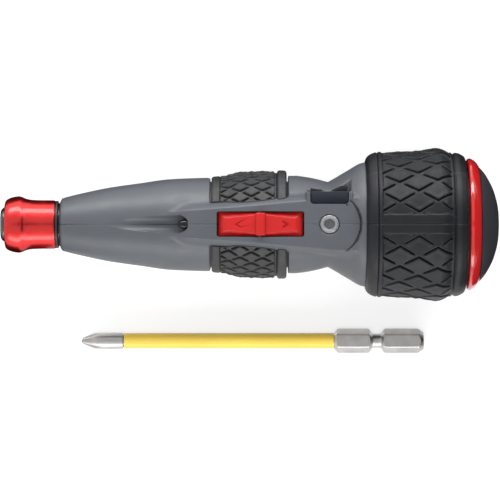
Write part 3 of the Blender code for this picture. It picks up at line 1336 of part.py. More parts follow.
def make_rocker():
    """The rocker: sloped wings, a ridge over the pivot, a lug for the pin and a foot over each switch."""
    half_length = WINDOW_LENGTH / 2 - FIT_GAP
    half_width = WINDOW_WIDTH / 2 - FIT_GAP
    flank = ROCKER_BOTTOM + ROCKER_BOTTOM_DROP * ROCKER_FLANK_SHARE
    sections = []
    for x_share, width_share, height_share in ROCKER_SECTION_SHARES:
        x = ROCKER_X + x_share * half_length
        top = ROCKER_BOTTOM + ROCKER_BOTTOM_DROP * height_share
        width = half_width * width_share
        sections.append([
            (x, -half_width, ROCKER_BOTTOM), (x, half_width, ROCKER_BOTTOM), (x, half_width, flank),
            (x, width, top), (x, -width, top), (x, -half_width, flank),
        ])
    rocker = loft("rocker", sections)
    lug_half = half_width - FIT_GAP
    join(rocker, rod("lug", ROCKER_X, ROCKER_Z, -lug_half, lug_half, ROCKER_LUG_RADIUS))
    for side in (-1, 1):
        x = ROCKER_X + side * FOOT_OFFSET
        join(rocker, box(
            "foot",
            (x - FOOT_LENGTH / 2, -FOOT_WIDTH / 2, PLUNGER_TOP + SHELL_GAP),
            (x + FOOT_LENGTH / 2, FOOT_WIDTH / 2, ROCKER_BOTTOM + FIT_GAP),
        ))
    pin_reach = half_width + OVERRUN
    cut(rocker, rod("pin_hole", ROCKER_X, ROCKER_Z, -pin_reach, pin_reach, ROCKER_PIN_RADIUS + RUNNING_GAP))
    return set_origin(rocker, (ROCKER_X, 0, ROCKER_Z))


def make_switches():
    """The rocker's pin, two key switches on the board, and their plungers."""
    half_pin = ROCKER_PIN_LENGTH / 2
    pieces = [rod("rocker_pin", ROCKER_X, ROCKER_Z, -half_pin, half_pin, ROCKER_PIN_RADIUS)]
    plungers = []
    for name, side in (("front", -1), ("rear", 1)):
        x = ROCKER_X + side * FOOT_OFFSET
        top = SEATED_Z + SWITCH_HEIGHT
        base = box(
            "switch_base_" + name, (x - SWITCH_LENGTH / 2, -SWITCH_WIDTH / 2, SEATED_Z),
            (x + SWITCH_LENGTH / 2, SWITCH_WIDTH / 2, top),
        )
        cut(base, upright("well", x, 0, SEATED_Z + SWITCH_FLOOR, top + OVERRUN, PLUNGER_RADIUS + RUNNING_GAP))
        pieces.append(base)
        bottom = SEATED_Z + SWITCH_FLOOR + PLUNGER_LIFT
        plunger = upright("plunger_" + name, x, 0, bottom, PLUNGER_TOP, PLUNGER_RADIUS)
        plungers.append(set_origin(plunger, (x, 0, PLUNGER_TOP)))
    return pieces, plungers


def make_lens():
    """The indicator lens: a head with a round groove, and a light pipe down to its lamp on the board."""
    head_bottom = PLATEAU_TOP - LENS_HEAD
    lamp_top = SEATED_Z + LAMP_HEIGHT
    lens = upright("indicator_lens", PORT_X, 0, head_bottom, PLATEAU_TOP, LENS_RADIUS, SHAFT_SIDES)
    pipe = upright("pipe", PORT_X, 0, lamp_top + LENS_PIPE_GAP, head_bottom + LENS_HEAD / 2, LENS_PIPE_RADIUS)
    join(lens, pipe)
    core_radius, ring_radius = [LENS_RADIUS * share for share in LENS_RING_SHARES]
    ring = upright(
        "ring", PORT_X, 0, PLATEAU_TOP - LENS_RING_DEPTH, PLATEAU_TOP + OVERRUN, ring_radius, SHAFT_SIDES
    )
    cut(ring, upright(
        "core", PORT_X, 0, PLATEAU_TOP - LENS_HEAD, PLATEAU_TOP + 2 * OVERRUN, core_radius, SHAFT_SIDES
    ))
    cut(lens, ring)
    half = LAMP_SIZE / 2
    lamp = box("indicator_lamp", (PORT_X - half, -half, SEATED_Z), (PORT_X + half, half, lamp_top))
    return [lens, lamp]


def make_headlight():
    """The round headlight at the end of its bore, with its dome to the front."""
    flange_x = BEAM_END_X + HEADLIGHT_LENGTH - HEADLIGHT_STAND_OUT
    front = flange_x - HEADLIGHT_LENGTH
    outline = []
    for k in (1, 2, 3):
        angle = math.pi / 2 * k / 3
        outline.append((front + HEADLIGHT_RADIUS * (1 - math.cos(angle)), HEADLIGHT_RADIUS * math.sin(angle)))
    lamp = turned("headlight", [(front, 0)] + outline + [(flange_x, HEADLIGHT_RADIUS)], sides=SMALL_SIDES)
    lamp.data.transform(Matrix.Translation((0, 0, BEAM_HEIGHT)))
    return lamp, flange_x


def make_wires(flange_x):
    """Leads from the motor, the cell and the headlight to the circuit board."""
    board_under = BOARD_Z - WIRE_END_GAP
    bell_x = END_BELL_END_X + WIRE_RADIUS + WIRE_END_GAP
    bend = 2 * WIRE_RADIUS
    wires = []
    for name, side in (("motor_lead_red", -1), ("motor_lead_black", 1)):
        y = side * BOARD_HALF_WIDTH / 2
        wires.append(wire(name, [(bell_x, y, CELL_RADIUS / 2), (bell_x, y, board_under)], WIRE_RADIUS))
    front_x = (END_BELL_END_X + CELL_X) / 2
    wires.append(wire("cell_lead_red", [
        (CELL_X - WIRE_END_GAP, 0, CELL_BUTTON_RADIUS / 2), (front_x, 0, CELL_BUTTON_RADIUS / 2),
        (front_x, 0, board_under),
    ], WIRE_RADIUS))
    rear_x = CELL_END_X + WIRE_RADIUS + WIRE_END_GAP
    channel_z = CELL_RADIUS + WIRE_CHANNEL_HEIGHT / 2
    board_end = BOARD_END_X + WIRE_END_GAP
    board_middle = BOARD_Z + BOARD_THICKNESS / 2
    wires.append(wire("cell_lead_black", [
        (rear_x, 0, CELL_RADIUS * REAR_LEAD_SHARE), (rear_x, 0, CELL_RADIUS),
        (rear_x - bend, 0, channel_z), (rear_x - 3 * bend, 0, channel_z),
        (board_end + 2 * bend, 0, channel_z), (board_end + bend, 0, board_middle + WIRE_RADIUS / 2),
        (board_end, 0, board_middle),
    ], WIRE_RADIUS))
    lead_z = BOARD_TOP + WIRE_END_GAP
    lead_x = BOARD_X + bend
    wires.append(wire("headlight_lead", [
        (flange_x + WIRE_END_GAP, 0, BEAM_HEIGHT), (flange_x + bend, 0, BEAM_HEIGHT - bend / 4),
        (lead_x - bend / 2, 0, lead_z + 2 * bend), (lead_x, 0, lead_z + bend), (lead_x, 0, lead_z),
    ], WIRE_RADIUS))
    return wires


# Driver bit

def make_bit():
    """A long cross-point bit with a hex shank, and the coloured jacket round its shaft."""
    tip = NOSE_X + BIT_TIP_FROM_NOSE
    end = tip + BIT_LENGTH
    shank_x = end - BIT_SHANK_LENGTH
    head_end = tip + BIT_HEAD_LENGTH
    bit = turned("driver_bit", [
        (tip, BIT_TIP_RADIUS), (tip + BIT_POINT_LENGTH, BIT_HEAD_RADIUS), (head_end, BIT_HEAD_RADIUS),
        (head_end, BIT_SHAFT_RADIUS), (shank_x + OVERRUN, BIT_SHAFT_RADIUS),
    ], sides=SMALL_SIDES)
    shank = prism("shank", hexagon(HEX_FLATS), shank_x, end)
    corner = HEX_FLATS / math.sqrt(3) - BIT_SHANK_TURN
    groove_x = end - GROOVE_FROM_END
    half_groove = BIT_GROOVE_LENGTH / 2
    turning = turned("turning", [
        (shank_x, BIT_HEAD_RADIUS), (shank_x + BIT_POINT_LENGTH / 3, corner),
        (groove_x - half_groove - BIT_GROOVE_FLARE, corner), (groove_x - half_groove, BIT_GROOVE_RADIUS),
        (groove_x + half_groove, BIT_GROOVE_RADIUS), (groove_x + half_groove + BIT_GROOVE_FLARE, corner),
        (end - BIT_SHANK_CHAMFER, corner), (end, BIT_HEAD_RADIUS),
    ], sides=SHAFT_SIDES)
    keep_inside(shank, turning)
    join(bit, shank)
    for quarter in range(4):
        flute = box(
            "flute", (-FLUTE_LENGTH, BIT_TIP_RADIUS * FLUTE_REACH_SHARE, BIT_TIP_RADIUS * FLUTE_REACH_SHARE),
            (FLUTE_LENGTH, FLUTE_WIDTH, FLUTE_WIDTH),
        )
        tilt = Matrix.Rotation(FLUTE_SLOPE, 4, Vector((0, -1, 1)))
        flute.data.transform(Matrix.Rotation(quarter * math.pi / 2, 4, "X") @ tilt)
        flute.data.transform(Matrix.Translation((tip, 0, 0)))
        cut(bit, flute)
    bore = BIT_SHAFT_RADIUS + RUNNING_GAP
    jacket = tube(
        "bit_jacket", head_end + RUNNING_GAP, shank_x - RUNNING_GAP, bore + JACKET_WALL, bore,
        sides=SMALL_SIDES,
    )
    place = Matrix.Translation((0, BIT_Y, FLOOR_Z + HEX_FLATS / 2))
    for piece in (bit, jacket):
        piece.data.transform(place)
    return [bit, jacket]


# Materials: colour, roughness and metallic value

FINISHES = {
    "housing_plastic": ((0.165, 0.178, 0.197), 0.42, 0.0),
    "grip_rubber": ((0.022, 0.023, 0.026), 0.6, 0.0),
    "red_anodised": ((0.72, 0.02, 0.025), 0.28, 0.85),
    "red_plastic": ((0.78, 0.03, 0.028), 0.32, 0.0),
    "cap_plastic": ((0.04, 0.041, 0.047), 0.4, 0.0),
    "cover_rubber": ((0.022, 0.025, 0.035), 0.55, 0.0),
    "clear_plastic": ((0.45, 0.47, 0.48), 0.15, 0.0),
    "bright_steel": ((0.58, 0.58, 0.6), 0.25, 1.0),
    "hex_steel": ((0.34, 0.33, 0.32), 0.35, 1.0),
    "black_plastic": ((0.015, 0.015, 0.016), 0.5, 0.0),
    "sintered_bronze": ((0.45, 0.27, 0.1), 0.5, 1.0),
    "gear_plastic": ((0.75, 0.73, 0.68), 0.45, 0.0),
    "magnet_black": ((0.03, 0.03, 0.032), 0.6, 0.2),
    "copper": ((0.72, 0.32, 0.14), 0.35, 1.0),
    "board_green": ((0.01, 0.14, 0.05), 0.4, 0.0),
    "cell_wrap": ((0.05, 0.22, 0.5), 0.4, 0.0),
    "wire_red": ((0.55, 0.01, 0.01), 0.45, 0.0),
    "wire_black": ((0.01, 0.01, 0.01), 0.45, 0.0),
    "jacket_yellow": ((0.86, 0.55, 0.06), 0.38, 0.0),
}


def finish(name):
    """A Principled material, made once for each name."""
    made = bpy.data.materials.get(name)
    if made:
        return made
    colour, roughness, metallic = FINISHES[name]
    made = bpy.data.materials.new(name)
    made.use_nodes = True
    shader = made.node_tree.nodes["Principled BSDF"]
    shader.inputs["Base Color"].default_value = (*colour, 1)
    shader.inputs["Roughness"].default_value = roughness
    shader.inputs["Metallic"].default_value = metallic
    made.diffuse_color = (*colour, 1)
    return made


def paint(pieces, name):
    for piece in pieces:
        piece.data.materials.clear()
        piece.data.materials.append(finish(name))


def pivot(name, place):
    """An empty that marks a joint's axis."""
    empty = bpy.data.objects.new(name, None)
    bpy.context.scene.collection.objects.link(empty)
    empty.location = place
    return empty


def carry(empty, pieces):
    """Parent pieces to an empty without moving them."""
    for piece in pieces:
        piece.parent = empty
        piece.location = piece.location - empty.location


def build():
    for old in list(bpy.data.objects):
        bpy.data.objects.remove(old)

    paint(make_housing(), "housing_plastic")
    paint(make_front_grips() + make_ball_grips(), "grip_rubber")
    tail_ring, tail_cap = make_tail()
    paint([tail_ring], "red_plastic")
    paint([tail_cap], "cap_plastic")
    paint(make_screws(), "bright_steel")

    holder = make_bit_holder()
    magnet, snap_ring, washer, clip, stop_ring = make_holder_parts()
    ball = make_ball()
    sleeve = make_sleeve()
    spring = make_sleeve_spring()
    paint([holder, magnet, snap_ring, washer, clip, ball, spring], "bright_steel")
    paint([stop_ring], "black_plastic")
    paint([sleeve], "red_anodised")

    bush, gear_nose, ring_gear, plate = make_gear_case()
    output_carrier, first_carrier = make_carriers()
    second_planets = make_planets("second", OUTPUT_PLANET_X)
    first_planets = make_planets("first", INPUT_PLANET_X)
    paint([bush], "sintered_bronze")
    paint([gear_nose, ring_gear], "black_plastic")
    paint([plate, output_carrier, first_carrier], "bright_steel")
    paint(second_planets + first_planets, "gear_plastic")

    can, bell, *field_magnets = make_motor_case()
    shaft, pinion, armature, commutator = make_rotor()
    cell = make_cell()
    paint([can, shaft, pinion, armature], "bright_steel")
    paint([bell], "black_plastic")
    paint(field_magnets, "magnet_black")
    paint([commutator], "copper")
    paint([cell], "cell_wrap")

    board = make_board()
    port = make_port()
    cover = make_cover()
    rocker = make_rocker()
    switch_parts, plungers = make_switches()
    lens, lamp = make_lens()
    headlight, flange_x = make_headlight()
    wires = make_wires(flange_x)
    paint([board], "board_green")
    paint([port, switch_parts[0]], "bright_steel")
    paint([cover], "cover_rubber")
    paint([rocker], "red_plastic")
    paint(switch_parts[1:] + plungers, "black_plastic")
    paint([lens, lamp, headlight], "clear_plastic")
    paint([wires[0], wires[2]], "wire_red")
    paint([wires[1], wires[3], wires[4]], "wire_black")

    bit, jacket = make_bit()
    paint([bit], "hex_steel")
    paint([jacket], "jacket_yellow")

    carry(pivot("spindle_axis", (0, 0, 0)), [
        holder, magnet, snap_ring, washer, clip, stop_ring, ball, sleeve, spring, output_carrier,
        *second_planets,
    ])
    carry(pivot("rotor_axis", (CAN_X, 0, 0)), [shaft, pinion, armature, commutator])
    carry(pivot("first_carrier_axis", (INPUT_PLATE_X, 0, 0)), [first_carrier, *first_planets])
    carry(pivot("rocker_axis", (ROCKER_X, 0, ROCKER_Z)), [rocker])
    carry(pivot("bit_rest", (NOSE_X + BIT_TIP_FROM_NOSE, BIT_Y, FLOOR_Z)), [bit, jacket])


build()
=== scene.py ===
"""Looks of a ball-grip cordless screwdriver and the loose driver bit beside it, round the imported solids.

The screwdriver's axis is the X axis, with the nose towards -X and the switch towards +Z. Lengths are in
millimetres, and meshes are scaled to metres when they are made. Only the stage, at the end, is in metres.
"""

import math

import bmesh
import bpy
import numpy as np
from mathutils import Matrix, Vector


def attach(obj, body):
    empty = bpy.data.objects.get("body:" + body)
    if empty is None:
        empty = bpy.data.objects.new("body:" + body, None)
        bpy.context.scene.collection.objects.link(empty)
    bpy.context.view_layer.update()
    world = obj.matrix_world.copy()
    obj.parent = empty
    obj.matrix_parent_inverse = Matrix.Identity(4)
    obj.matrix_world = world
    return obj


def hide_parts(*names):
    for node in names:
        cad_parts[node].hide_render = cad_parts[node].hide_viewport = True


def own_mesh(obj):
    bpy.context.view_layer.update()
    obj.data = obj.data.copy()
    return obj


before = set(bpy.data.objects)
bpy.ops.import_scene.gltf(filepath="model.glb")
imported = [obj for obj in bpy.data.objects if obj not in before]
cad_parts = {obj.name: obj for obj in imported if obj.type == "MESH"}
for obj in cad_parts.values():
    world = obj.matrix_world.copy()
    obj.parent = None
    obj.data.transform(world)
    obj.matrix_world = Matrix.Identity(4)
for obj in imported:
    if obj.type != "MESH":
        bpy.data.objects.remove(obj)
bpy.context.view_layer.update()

MM = 0.001
FLOOR_Z = -22.33  # just under the lowest piece
SEAM = 0.05  # half of the gap at the parting plane

# Places along the axis, heights and sizes, as in the solids
SLEEVE_X, SLEEVE_END_X = -22.75, -8.05
GRIP_X, GRIP_SEAT_END_X, WAIST_X = 37.0, 59.6, 71.2
BALL_GRIP_X, BALL_GRIP_END_X = 81.9, 111.1
RING_X, RING_END_X, CAP_X = 111.6, 115.0, 115.2
GRIP_SEAT_RADIUS, FRONT_GRIP_UNDERSIDE, CAP_SEAT_RADIUS = 12.5, 12.7, 15.9
PLATEAU_X, PLATEAU_END_X = 25.6, 79.4
PLATEAU_TOP, ROOF_UNDERSIDE = 15.6, 13.9
SLOPE_DROP, SLOPE_RUN, SLOPE_LENGTH = 3.0, 1.7, 3.448  # the plateau's long side slopes
ROCKER_X, ROCKER_Z, ROCKER_BOTTOM = 51.6, 12.9, 13.0
PIN_HOLE_RADIUS = 0.95
PORT_X, PORT_Z, PORT_SIDE = 71.4, 11.93, 9.4
PORT_BLOCK_HALF, POCKET_RADIUS = 6.55, 9.1
GUTTER_END_X, GUTTER_Z, GUTTER_RADIUS = 28.3, 13.25, 2.4
SOCKET_FLATS, SHANK_FLATS = 6.5, 6.35
BIT_Y, BIT_Z = -34.4, -19.0401
BIT_TIP_X, SHANK_X, LOCK_GROOVE_X, BIT_END_X = -1.4, 73.6, 86.2, 100.2
SCREWS = ((33.0, -10.4, 4.3), (62.6, -11.85, 3.0), (79.6, -13.35, 4.0))  # x, z, depth of the head's seat


# Outlines and smooth functions

def curve(points):
    """A smooth function through (place, value) points, flat where they turn, so it never overshoots them."""
    places, values = (np.array(column, float) for column in zip(*points))
    steps = np.diff(places)
    slopes = np.diff(values) / steps
    tangents = np.zeros(len(places))
    tangents[0], tangents[-1] = slopes[0], slopes[-1]
    rising = slopes[:-1] * slopes[1:]
    inner = rising > 0
    tangents[1:-1][inner] = (2 * rising[inner]) / (slopes[:-1] + slopes[1:])[inner]

    def at(x):
        x = np.asarray(x, float)
        k = np.clip(np.searchsorted(places, x, side="right") - 1, 0, len(steps) - 1)
        t = np.clip((x - places[k]) / steps[k], 0, 1)
        start = values[k] * (1 + 2 * t) + steps[k] * tangents[k] * t
        end = values[k + 1] * (3 - 2 * t) - steps[k] * tangents[k + 1] * (1 - t)
        return start * (1 - t) ** 2 + end * t ** 2
    return at


def soft_max(a, b, width):
    """The larger of two distances, rounded over a width where they meet."""
    blend = np.maximum(width - np.abs(a - b), 0)
    return np.maximum(a, b) + blend ** 2 / (4 * width)


def soft_min(a, b, width):
    """The smaller of two distances, rounded over a width where they meet."""
    return -soft_max(-a, -b, width)


def carve(shape, form, width):
    """Take a form away from a shape, with the edge rounded over a width."""
    return soft_max(shape, -form, width)


def step(low, high, value):
    """Smoothly from 0 at low to 1 at high."""
    t = np.clip((value - low) / (high - low), 0, 1)
    return t * t * (3 - 2 * t)


def fillet(corners, closed=False, steps=5):
    """Round a polyline's corners, given as (x, y, reach); the rounding starts that far from the corner."""
    points = []
    count = len(corners)
    for k, (x, y, reach) in enumerate(corners):
        if not reach or (not closed and k in (0, count - 1)):
            points.append((x, y))
            continue
        corner = Vector((x, y))
        ends = []
        for other in (corners[k - 1], corners[(k + 1) % count]):
            away = Vector(other[:2]) - corner
            ends.append(corner + away.normalized() * min(reach, away.length * 0.5))
        for i in range(steps + 1):
            t = i / steps
            place = ends[0] * (1 - t) ** 2 + corner * 2 * t * (1 - t) + ends[1] * t ** 2
            points.append(tuple(place))
    return points


def sampled(function, start, end, spacing):
    """(x, radius) points of a smooth function."""
    count = max(2, round(abs(end - start) / spacing) + 1)
    places = np.linspace(start, end, count)
    return list(zip(places.tolist(), function(places).tolist()))


# Making meshes

def piece_from(name, builder, sharp=35, offset=(0, 0, 0)):
    """Turn a bmesh in millimetres into a smooth-shaded object in metres."""
    bmesh.ops.remove_doubles(builder, verts=builder.verts, dist=1e-4)
    bmesh.ops.recalc_face_normals(builder, faces=builder.faces)
    mesh = bpy.data.meshes.new(name)
    builder.to_mesh(mesh)
    builder.free()
    mesh.transform(Matrix.Translation(Vector(offset) * MM) @ Matrix.Scale(MM, 4))
    return smooth(link(name, mesh), sharp)


def link(name, mesh):
    """Put a mesh in the scene as a new object."""
    piece = bpy.data.objects.new(name, mesh)
    bpy.context.scene.collection.objects.link(piece)
    return piece


def smooth(piece, sharp=35):
    """Shade a piece smooth, apart from edges that turn by more than an angle in degrees."""
    piece.data.shade_smooth()
    piece.data.set_sharp_from_angle(angle=math.radians(sharp))
    return piece


def lattice(builder, rows, wrap=False):
    """Add rows of points with faces between them, and return the vertices; wrap joins each row's ends."""
    grid = [[builder.verts.new(point) for point in row] for row in rows]
    for row, following in zip(grid, grid[1:]):
        for k in range(len(row) if wrap else len(row) - 1):
            after = (k + 1) % len(row)
            builder.faces.new((row[k], row[after], following[after], following[k]))
    return grid


def skin(name, rows, sharp=35):
    """A closed surface over rings of points, with the first and the last ring filled."""
    builder = bmesh.new()
    grid = lattice(builder, rows, wrap=True)
    for row in (grid[0], grid[-1]):
        builder.faces.new(row)
    return piece_from(name, builder, sharp)


def turned(name, outline, sides=96, closed=False, sharp=35, offset=(0, 0, 0)):
    """Turn (x, radius) points round the X axis. A closed outline makes a tube, an open one is capped."""
    builder = bmesh.new()
    angles = [math.tau * (k + 0.5) / sides for k in range(sides)]
    rings = []
    for x, radius in outline:
        some = angles if radius > 1e-6 else [0]
        rings.append([builder.verts.new((x, radius * math.sin(a), radius * math.cos(a))) for a in some])
    pairs = list(zip(rings, rings[1:]))
    if closed:
        pairs.append((rings[-1], rings[0]))
    for ring, following in pairs:
        for k in range(sides):
            corners = [ring[k % len(ring)], ring[(k + 1) % len(ring)]]
            corners += [following[(k + 1) % len(following)], following[k % len(following)]]
            builder.faces.new(list(dict.fromkeys(corners)))
    if not closed:
        for ring in (rings[0], rings[-1]):
            if len(ring) > 1:
                builder.faces.new(ring)
    return piece_from(name, builder, sharp, offset)


def shell(name, outer, inner, sharp=35):
    """A closed shell between two grids of points; the hidden inner one is drawn with fewer faces."""
    coarse = 8
    rows, columns = outer.shape[:2]
    some_rows = sorted({*range(0, rows, coarse), rows - 1})
    some_columns = sorted({*range(0, columns, coarse), columns - 1})
    builder = bmesh.new()
    out = lattice(builder, outer)
    into = {(i, j): builder.verts.new(inner[i, j]) for i in some_rows for j in some_columns}
    for i, below in zip(some_rows, some_rows[1:]):
        for j, beside in zip(some_columns, some_columns[1:]):
            builder.faces.new((into[i, j], into[below, j], into[below, beside], into[i, beside]))
    for i in (0, rows - 1):
        for j, beside in zip(some_columns, some_columns[1:]):
            builder.faces.new([out[i][k] for k in range(j, beside + 1)] + [into[i, beside], into[i, j]])
    for j in (0, columns - 1):
        for i, below in zip(some_rows, some_rows[1:]):
            builder.faces.new([out[k][j] for k in range(i, below + 1)] + [into[below, j], into[i, j]])
    return piece_from(name, builder, sharp)


def prism(name, outline, start, end, axis="X"):
    """Extrude a flat outline, given as (y, z), (z, x) or (x, y) points for the axes X, Y and Z."""
    turns = "XYZ".index(axis) + 1

    def place(a, b, along):
        numbers = [a, b, along]
        return numbers[-turns:] + numbers[:-turns]

    rows = [[place(a, b, along) for a, b in outline] for along in (start, end)]
    return skin(name, rows)


def box(name, low, high):
    """A box between its lowest and its highest corner."""
    outline = [(low[0], low[1]), (high[0], low[1]), (high[0], high[1]), (low[0], high[1])]
    return prism(name, outline, low[2], high[2], "Z")


def circle(radius, centre=(0, 0), sides=64):
    """Evenly spaced points on a circle."""
    angles = [math.tau * k / sides for k in range(sides)]
    return [(centre[0] + radius * math.cos(a), centre[1] + radius * math.sin(a)) for a in angles]


def hexagon(flats):
    """Points of a hexagon, from its width across flats."""
    return circle(flats / math.sqrt(3), sides=6)


def rounded_box(half_x, half_y, radius, centre=(0, 0), steps=6):
    """Points of a rectangle with round corners."""
    points = []
    for corner, (a, b) in enumerate(((1, 1), (-1, 1), (-1, -1), (1, -1))):
        for k in range(steps + 1):
            angle = math.pi / 2 * (corner + k / steps)
            points.append((
                centre[0] + a * (half_x - radius) + radius * math.cos(angle),
                centre[1] + b * (half_y - radius) + radius * math.sin(angle),
            ))
    return points


def applied(piece, sharp):
    """Replace a piece's mesh by what its modifiers make of it."""
    bpy.context.view_layer.update()
    result = bpy.data.meshes.new_from_object(piece.evaluated_get(bpy.context.evaluated_depsgraph_get()))
    piece.modifiers.clear()
    before, piece.data = piece.data, result
    bpy.data.meshes.remove(before)
    result.name = piece.name
    return smooth(piece, sharp)


def boolean(piece, tools, operation="DIFFERENCE", sharp=35):
    """Cut tools out of a piece, or join them to it, and remove the tools."""
    group = bpy.data.collections.new("tools")
    for tool in tools:
        group.objects.link(tool)
    modifier = piece.modifiers.new("boolean", "BOOLEAN")
    modifier.operation = operation
    modifier.solver = "EXACT"
    modifier.use_self = len(tools) > 1
    modifier.operand_type = "COLLECTION"
    modifier.collection = group
    applied(piece, sharp)
    for tool in tools:
        bpy.data.objects.remove(tool)
    bpy.data.collections.remove(group)
    return piece


def bevelled(piece, width):
    """Round a piece's edges."""
    modifier = piece.modifiers.new("bevel", "BEVEL")
    modifier.width = width * MM
    modifier.segments = 3
    modifier.limit_method = "ANGLE"
    modifier.angle_limit = math.radians(30)
    return applied(piece, 35)


# Materials

def toned(colour, factor, lift=0.0):
    """A lighter or darker colour."""
    return tuple(min(1.0, v * factor + lift) for v in colour)


def mixed(tree, factor, first, second):
    """Mix two colours by a factor socket."""
    mix = tree.nodes.new("ShaderNodeMix")
    mix.data_type = "RGBA"
    tree.links.new(factor, mix.inputs["Factor"])
    for socket, value in ((mix.inputs["A"], first), (mix.inputs["B"], second)):
        if isinstance(value, tuple):
            socket.default_value = (*value, 1)
        else:
            tree.links.new(value, socket)
    return mix.outputs["Result"]


def ranged(tree, value, low, high, to_low, to_high):
    """Map a socket's values from one range to another."""
    node = tree.nodes.new("ShaderNodeMapRange")
    tree.links.new(value, node.inputs["Value"])
    for name, number in (("From Min", low), ("From Max", high), ("To Min", to_low), ("To Max", to_high)):
        node.inputs[name].default_value = number
    return node.outputs["Result"]


def noise(tree, place, size, detail=3.0, stretch=(1, 1, 1), rough=0.5):
    """Noise whose features are about one size, in millimetres, stretched along the axes."""
    mapping = tree.nodes.new("ShaderNodeMapping")
    mapping.inputs["Scale"].default_value = [1 / (size * MM * k) for k in stretch]
    tree.links.new(place, mapping.inputs["Vector"])
    node = tree.nodes.new("ShaderNodeTexNoise")
    node.inputs["Scale"].default_value = 1.0
    node.inputs["Detail"].default_value = detail
    node.inputs["Roughness"].default_value = rough
    tree.links.new(mapping.outputs["Vector"], node.inputs["Vector"])
    return node.outputs["Fac"]


def bumped(tree, height, depth, before=None, strength=1.0):
    """A bump whose height runs over a depth in millimetres, on top of an earlier one."""
    node = tree.nodes.new("ShaderNodeBump")
    node.inputs["Strength"].default_value = strength
    node.inputs["Distance"].default_value = depth * MM
    tree.links.new(height, node.inputs["Height"])
    if before:
        tree.links.new(before, node.inputs["Normal"])
    return node.outputs["Normal"]


def material(name, colour, roughness, metallic=0.0, vary=0.12, patch=9.0, grain=0.25, depth=0.012,
             stretch=(1, 1, 1), rings=0.0, scratch=0.0, wear_and_edge_highlight=0.0, coat=0.0, coat_roughness=0.08, specular=0.5,
             transmission=0.0, dust=0.0, painted_crease_shade=0.0, edge_tint=None):
    """A Principled material with patches of tone and a fine grain.

    It can have turned rings, scratches, lighter edges that are partly wear and partly painted highlight,
    painted shade in creases and a film of dust.
    """
    made = bpy.data.materials.new(name)
    made.use_nodes = True
    tree = made.node_tree
    shader = tree.nodes["Principled BSDF"]
    place = tree.nodes.new("ShaderNodeTexCoord").outputs["Object"]
    tone = noise(tree, place, patch, 5.0)
    patches = ranged(tree, tone, 0.35, 0.65, 0, 1)
    paint = mixed(tree, patches, toned(colour, 1 - vary), toned(colour, 1 + 1.3 * vary))
    small = noise(tree, place, grain, 3.0, stretch)
    speck = ranged(tree, small, 0.3, 0.7, 0.0, 1.0)
    spots = ranged(tree, small, 0.25, 0.75, 0.0, vary * 1.5)
    paint = mixed(tree, spots, paint, toned(colour, 0.6))
    gloss = noise(tree, place, patch * 0.3, 4.0, stretch)
    rough = ranged(tree, gloss, 0.3, 0.7, roughness - 0.05, roughness + 0.05)
    normal = bumped(tree, speck, depth)
    if rings:
        wave = tree.nodes.new("ShaderNodeTexWave")
        wave.bands_direction = "X"
        wave.inputs["Scale"].default_value = 1 / (rings * MM * math.tau) * 2
        wave.inputs["Distortion"].default_value = 0.6
        wave.inputs["Detail"].default_value = 2.0
        tree.links.new(place, wave.inputs["Vector"])
        normal = bumped(tree, wave.outputs["Fac"], 0.004, normal, 0.6)
    if scratch:
        lines = noise(tree, place, 0.5, 2.0, (14, 1, 1), 0.7)
        marks = ranged(tree, lines, 0.68, 0.74, 0.0, scratch)
        paint = mixed(tree, marks, paint, toned(colour, 1.5, 0.05))
        normal = bumped(tree, marks, 0.01, normal)
    # Lighter edges: partly wear, partly painted highlight along the edges that catch the light
    if wear_and_edge_highlight:
        point = tree.nodes.new("ShaderNodeNewGeometry").outputs["Pointiness"]
        edge = ranged(tree, point, 0.53, 0.62, 0.0, wear_and_edge_highlight)
        paint = mixed(tree, edge, paint, toned(colour, 1.6, 0.04))
    # Painted shade: hollows and grooves get a darker colour and less shine, standing in for the shade that
    # falls there
    if painted_crease_shade:
        point = tree.nodes.new("ShaderNodeNewGeometry").outputs["Pointiness"]
        crease_shade = ranged(tree, point, 0.41, 0.49, painted_crease_shade, 0.0)
        paint = mixed(tree, crease_shade, paint, toned(colour, 0.1))
        crease_specular_shade = ranged(tree, point, 0.41, 0.49, specular * (1 - painted_crease_shade), specular)
        tree.links.new(crease_specular_shade, shader.inputs["Specular IOR Level"])
    if dust:
        film = ranged(tree, noise(tree, place, patch * 2, 6.0), 0.45, 0.75, 0.0, dust)
        paint = mixed(tree, film, paint, (0.22, 0.22, 0.23))
    tree.links.new(paint, shader.inputs["Base Color"])
    tree.links.new(rough, shader.inputs["Roughness"])
    tree.links.new(normal, shader.inputs["Normal"])
    shader.inputs["Metallic"].default_value = metallic
    shader.inputs["Specular IOR Level"].default_value = specular
    shader.inputs["Coat Weight"].default_value = coat
    shader.inputs["Coat Roughness"].default_value = coat_roughness
    shader.inputs["Transmission Weight"].default_value = transmission
    if edge_tint:
        shader.inputs["Specular Tint"].default_value = (*edge_tint, 1)
    made.diffuse_color = (*colour, 1)
    return made


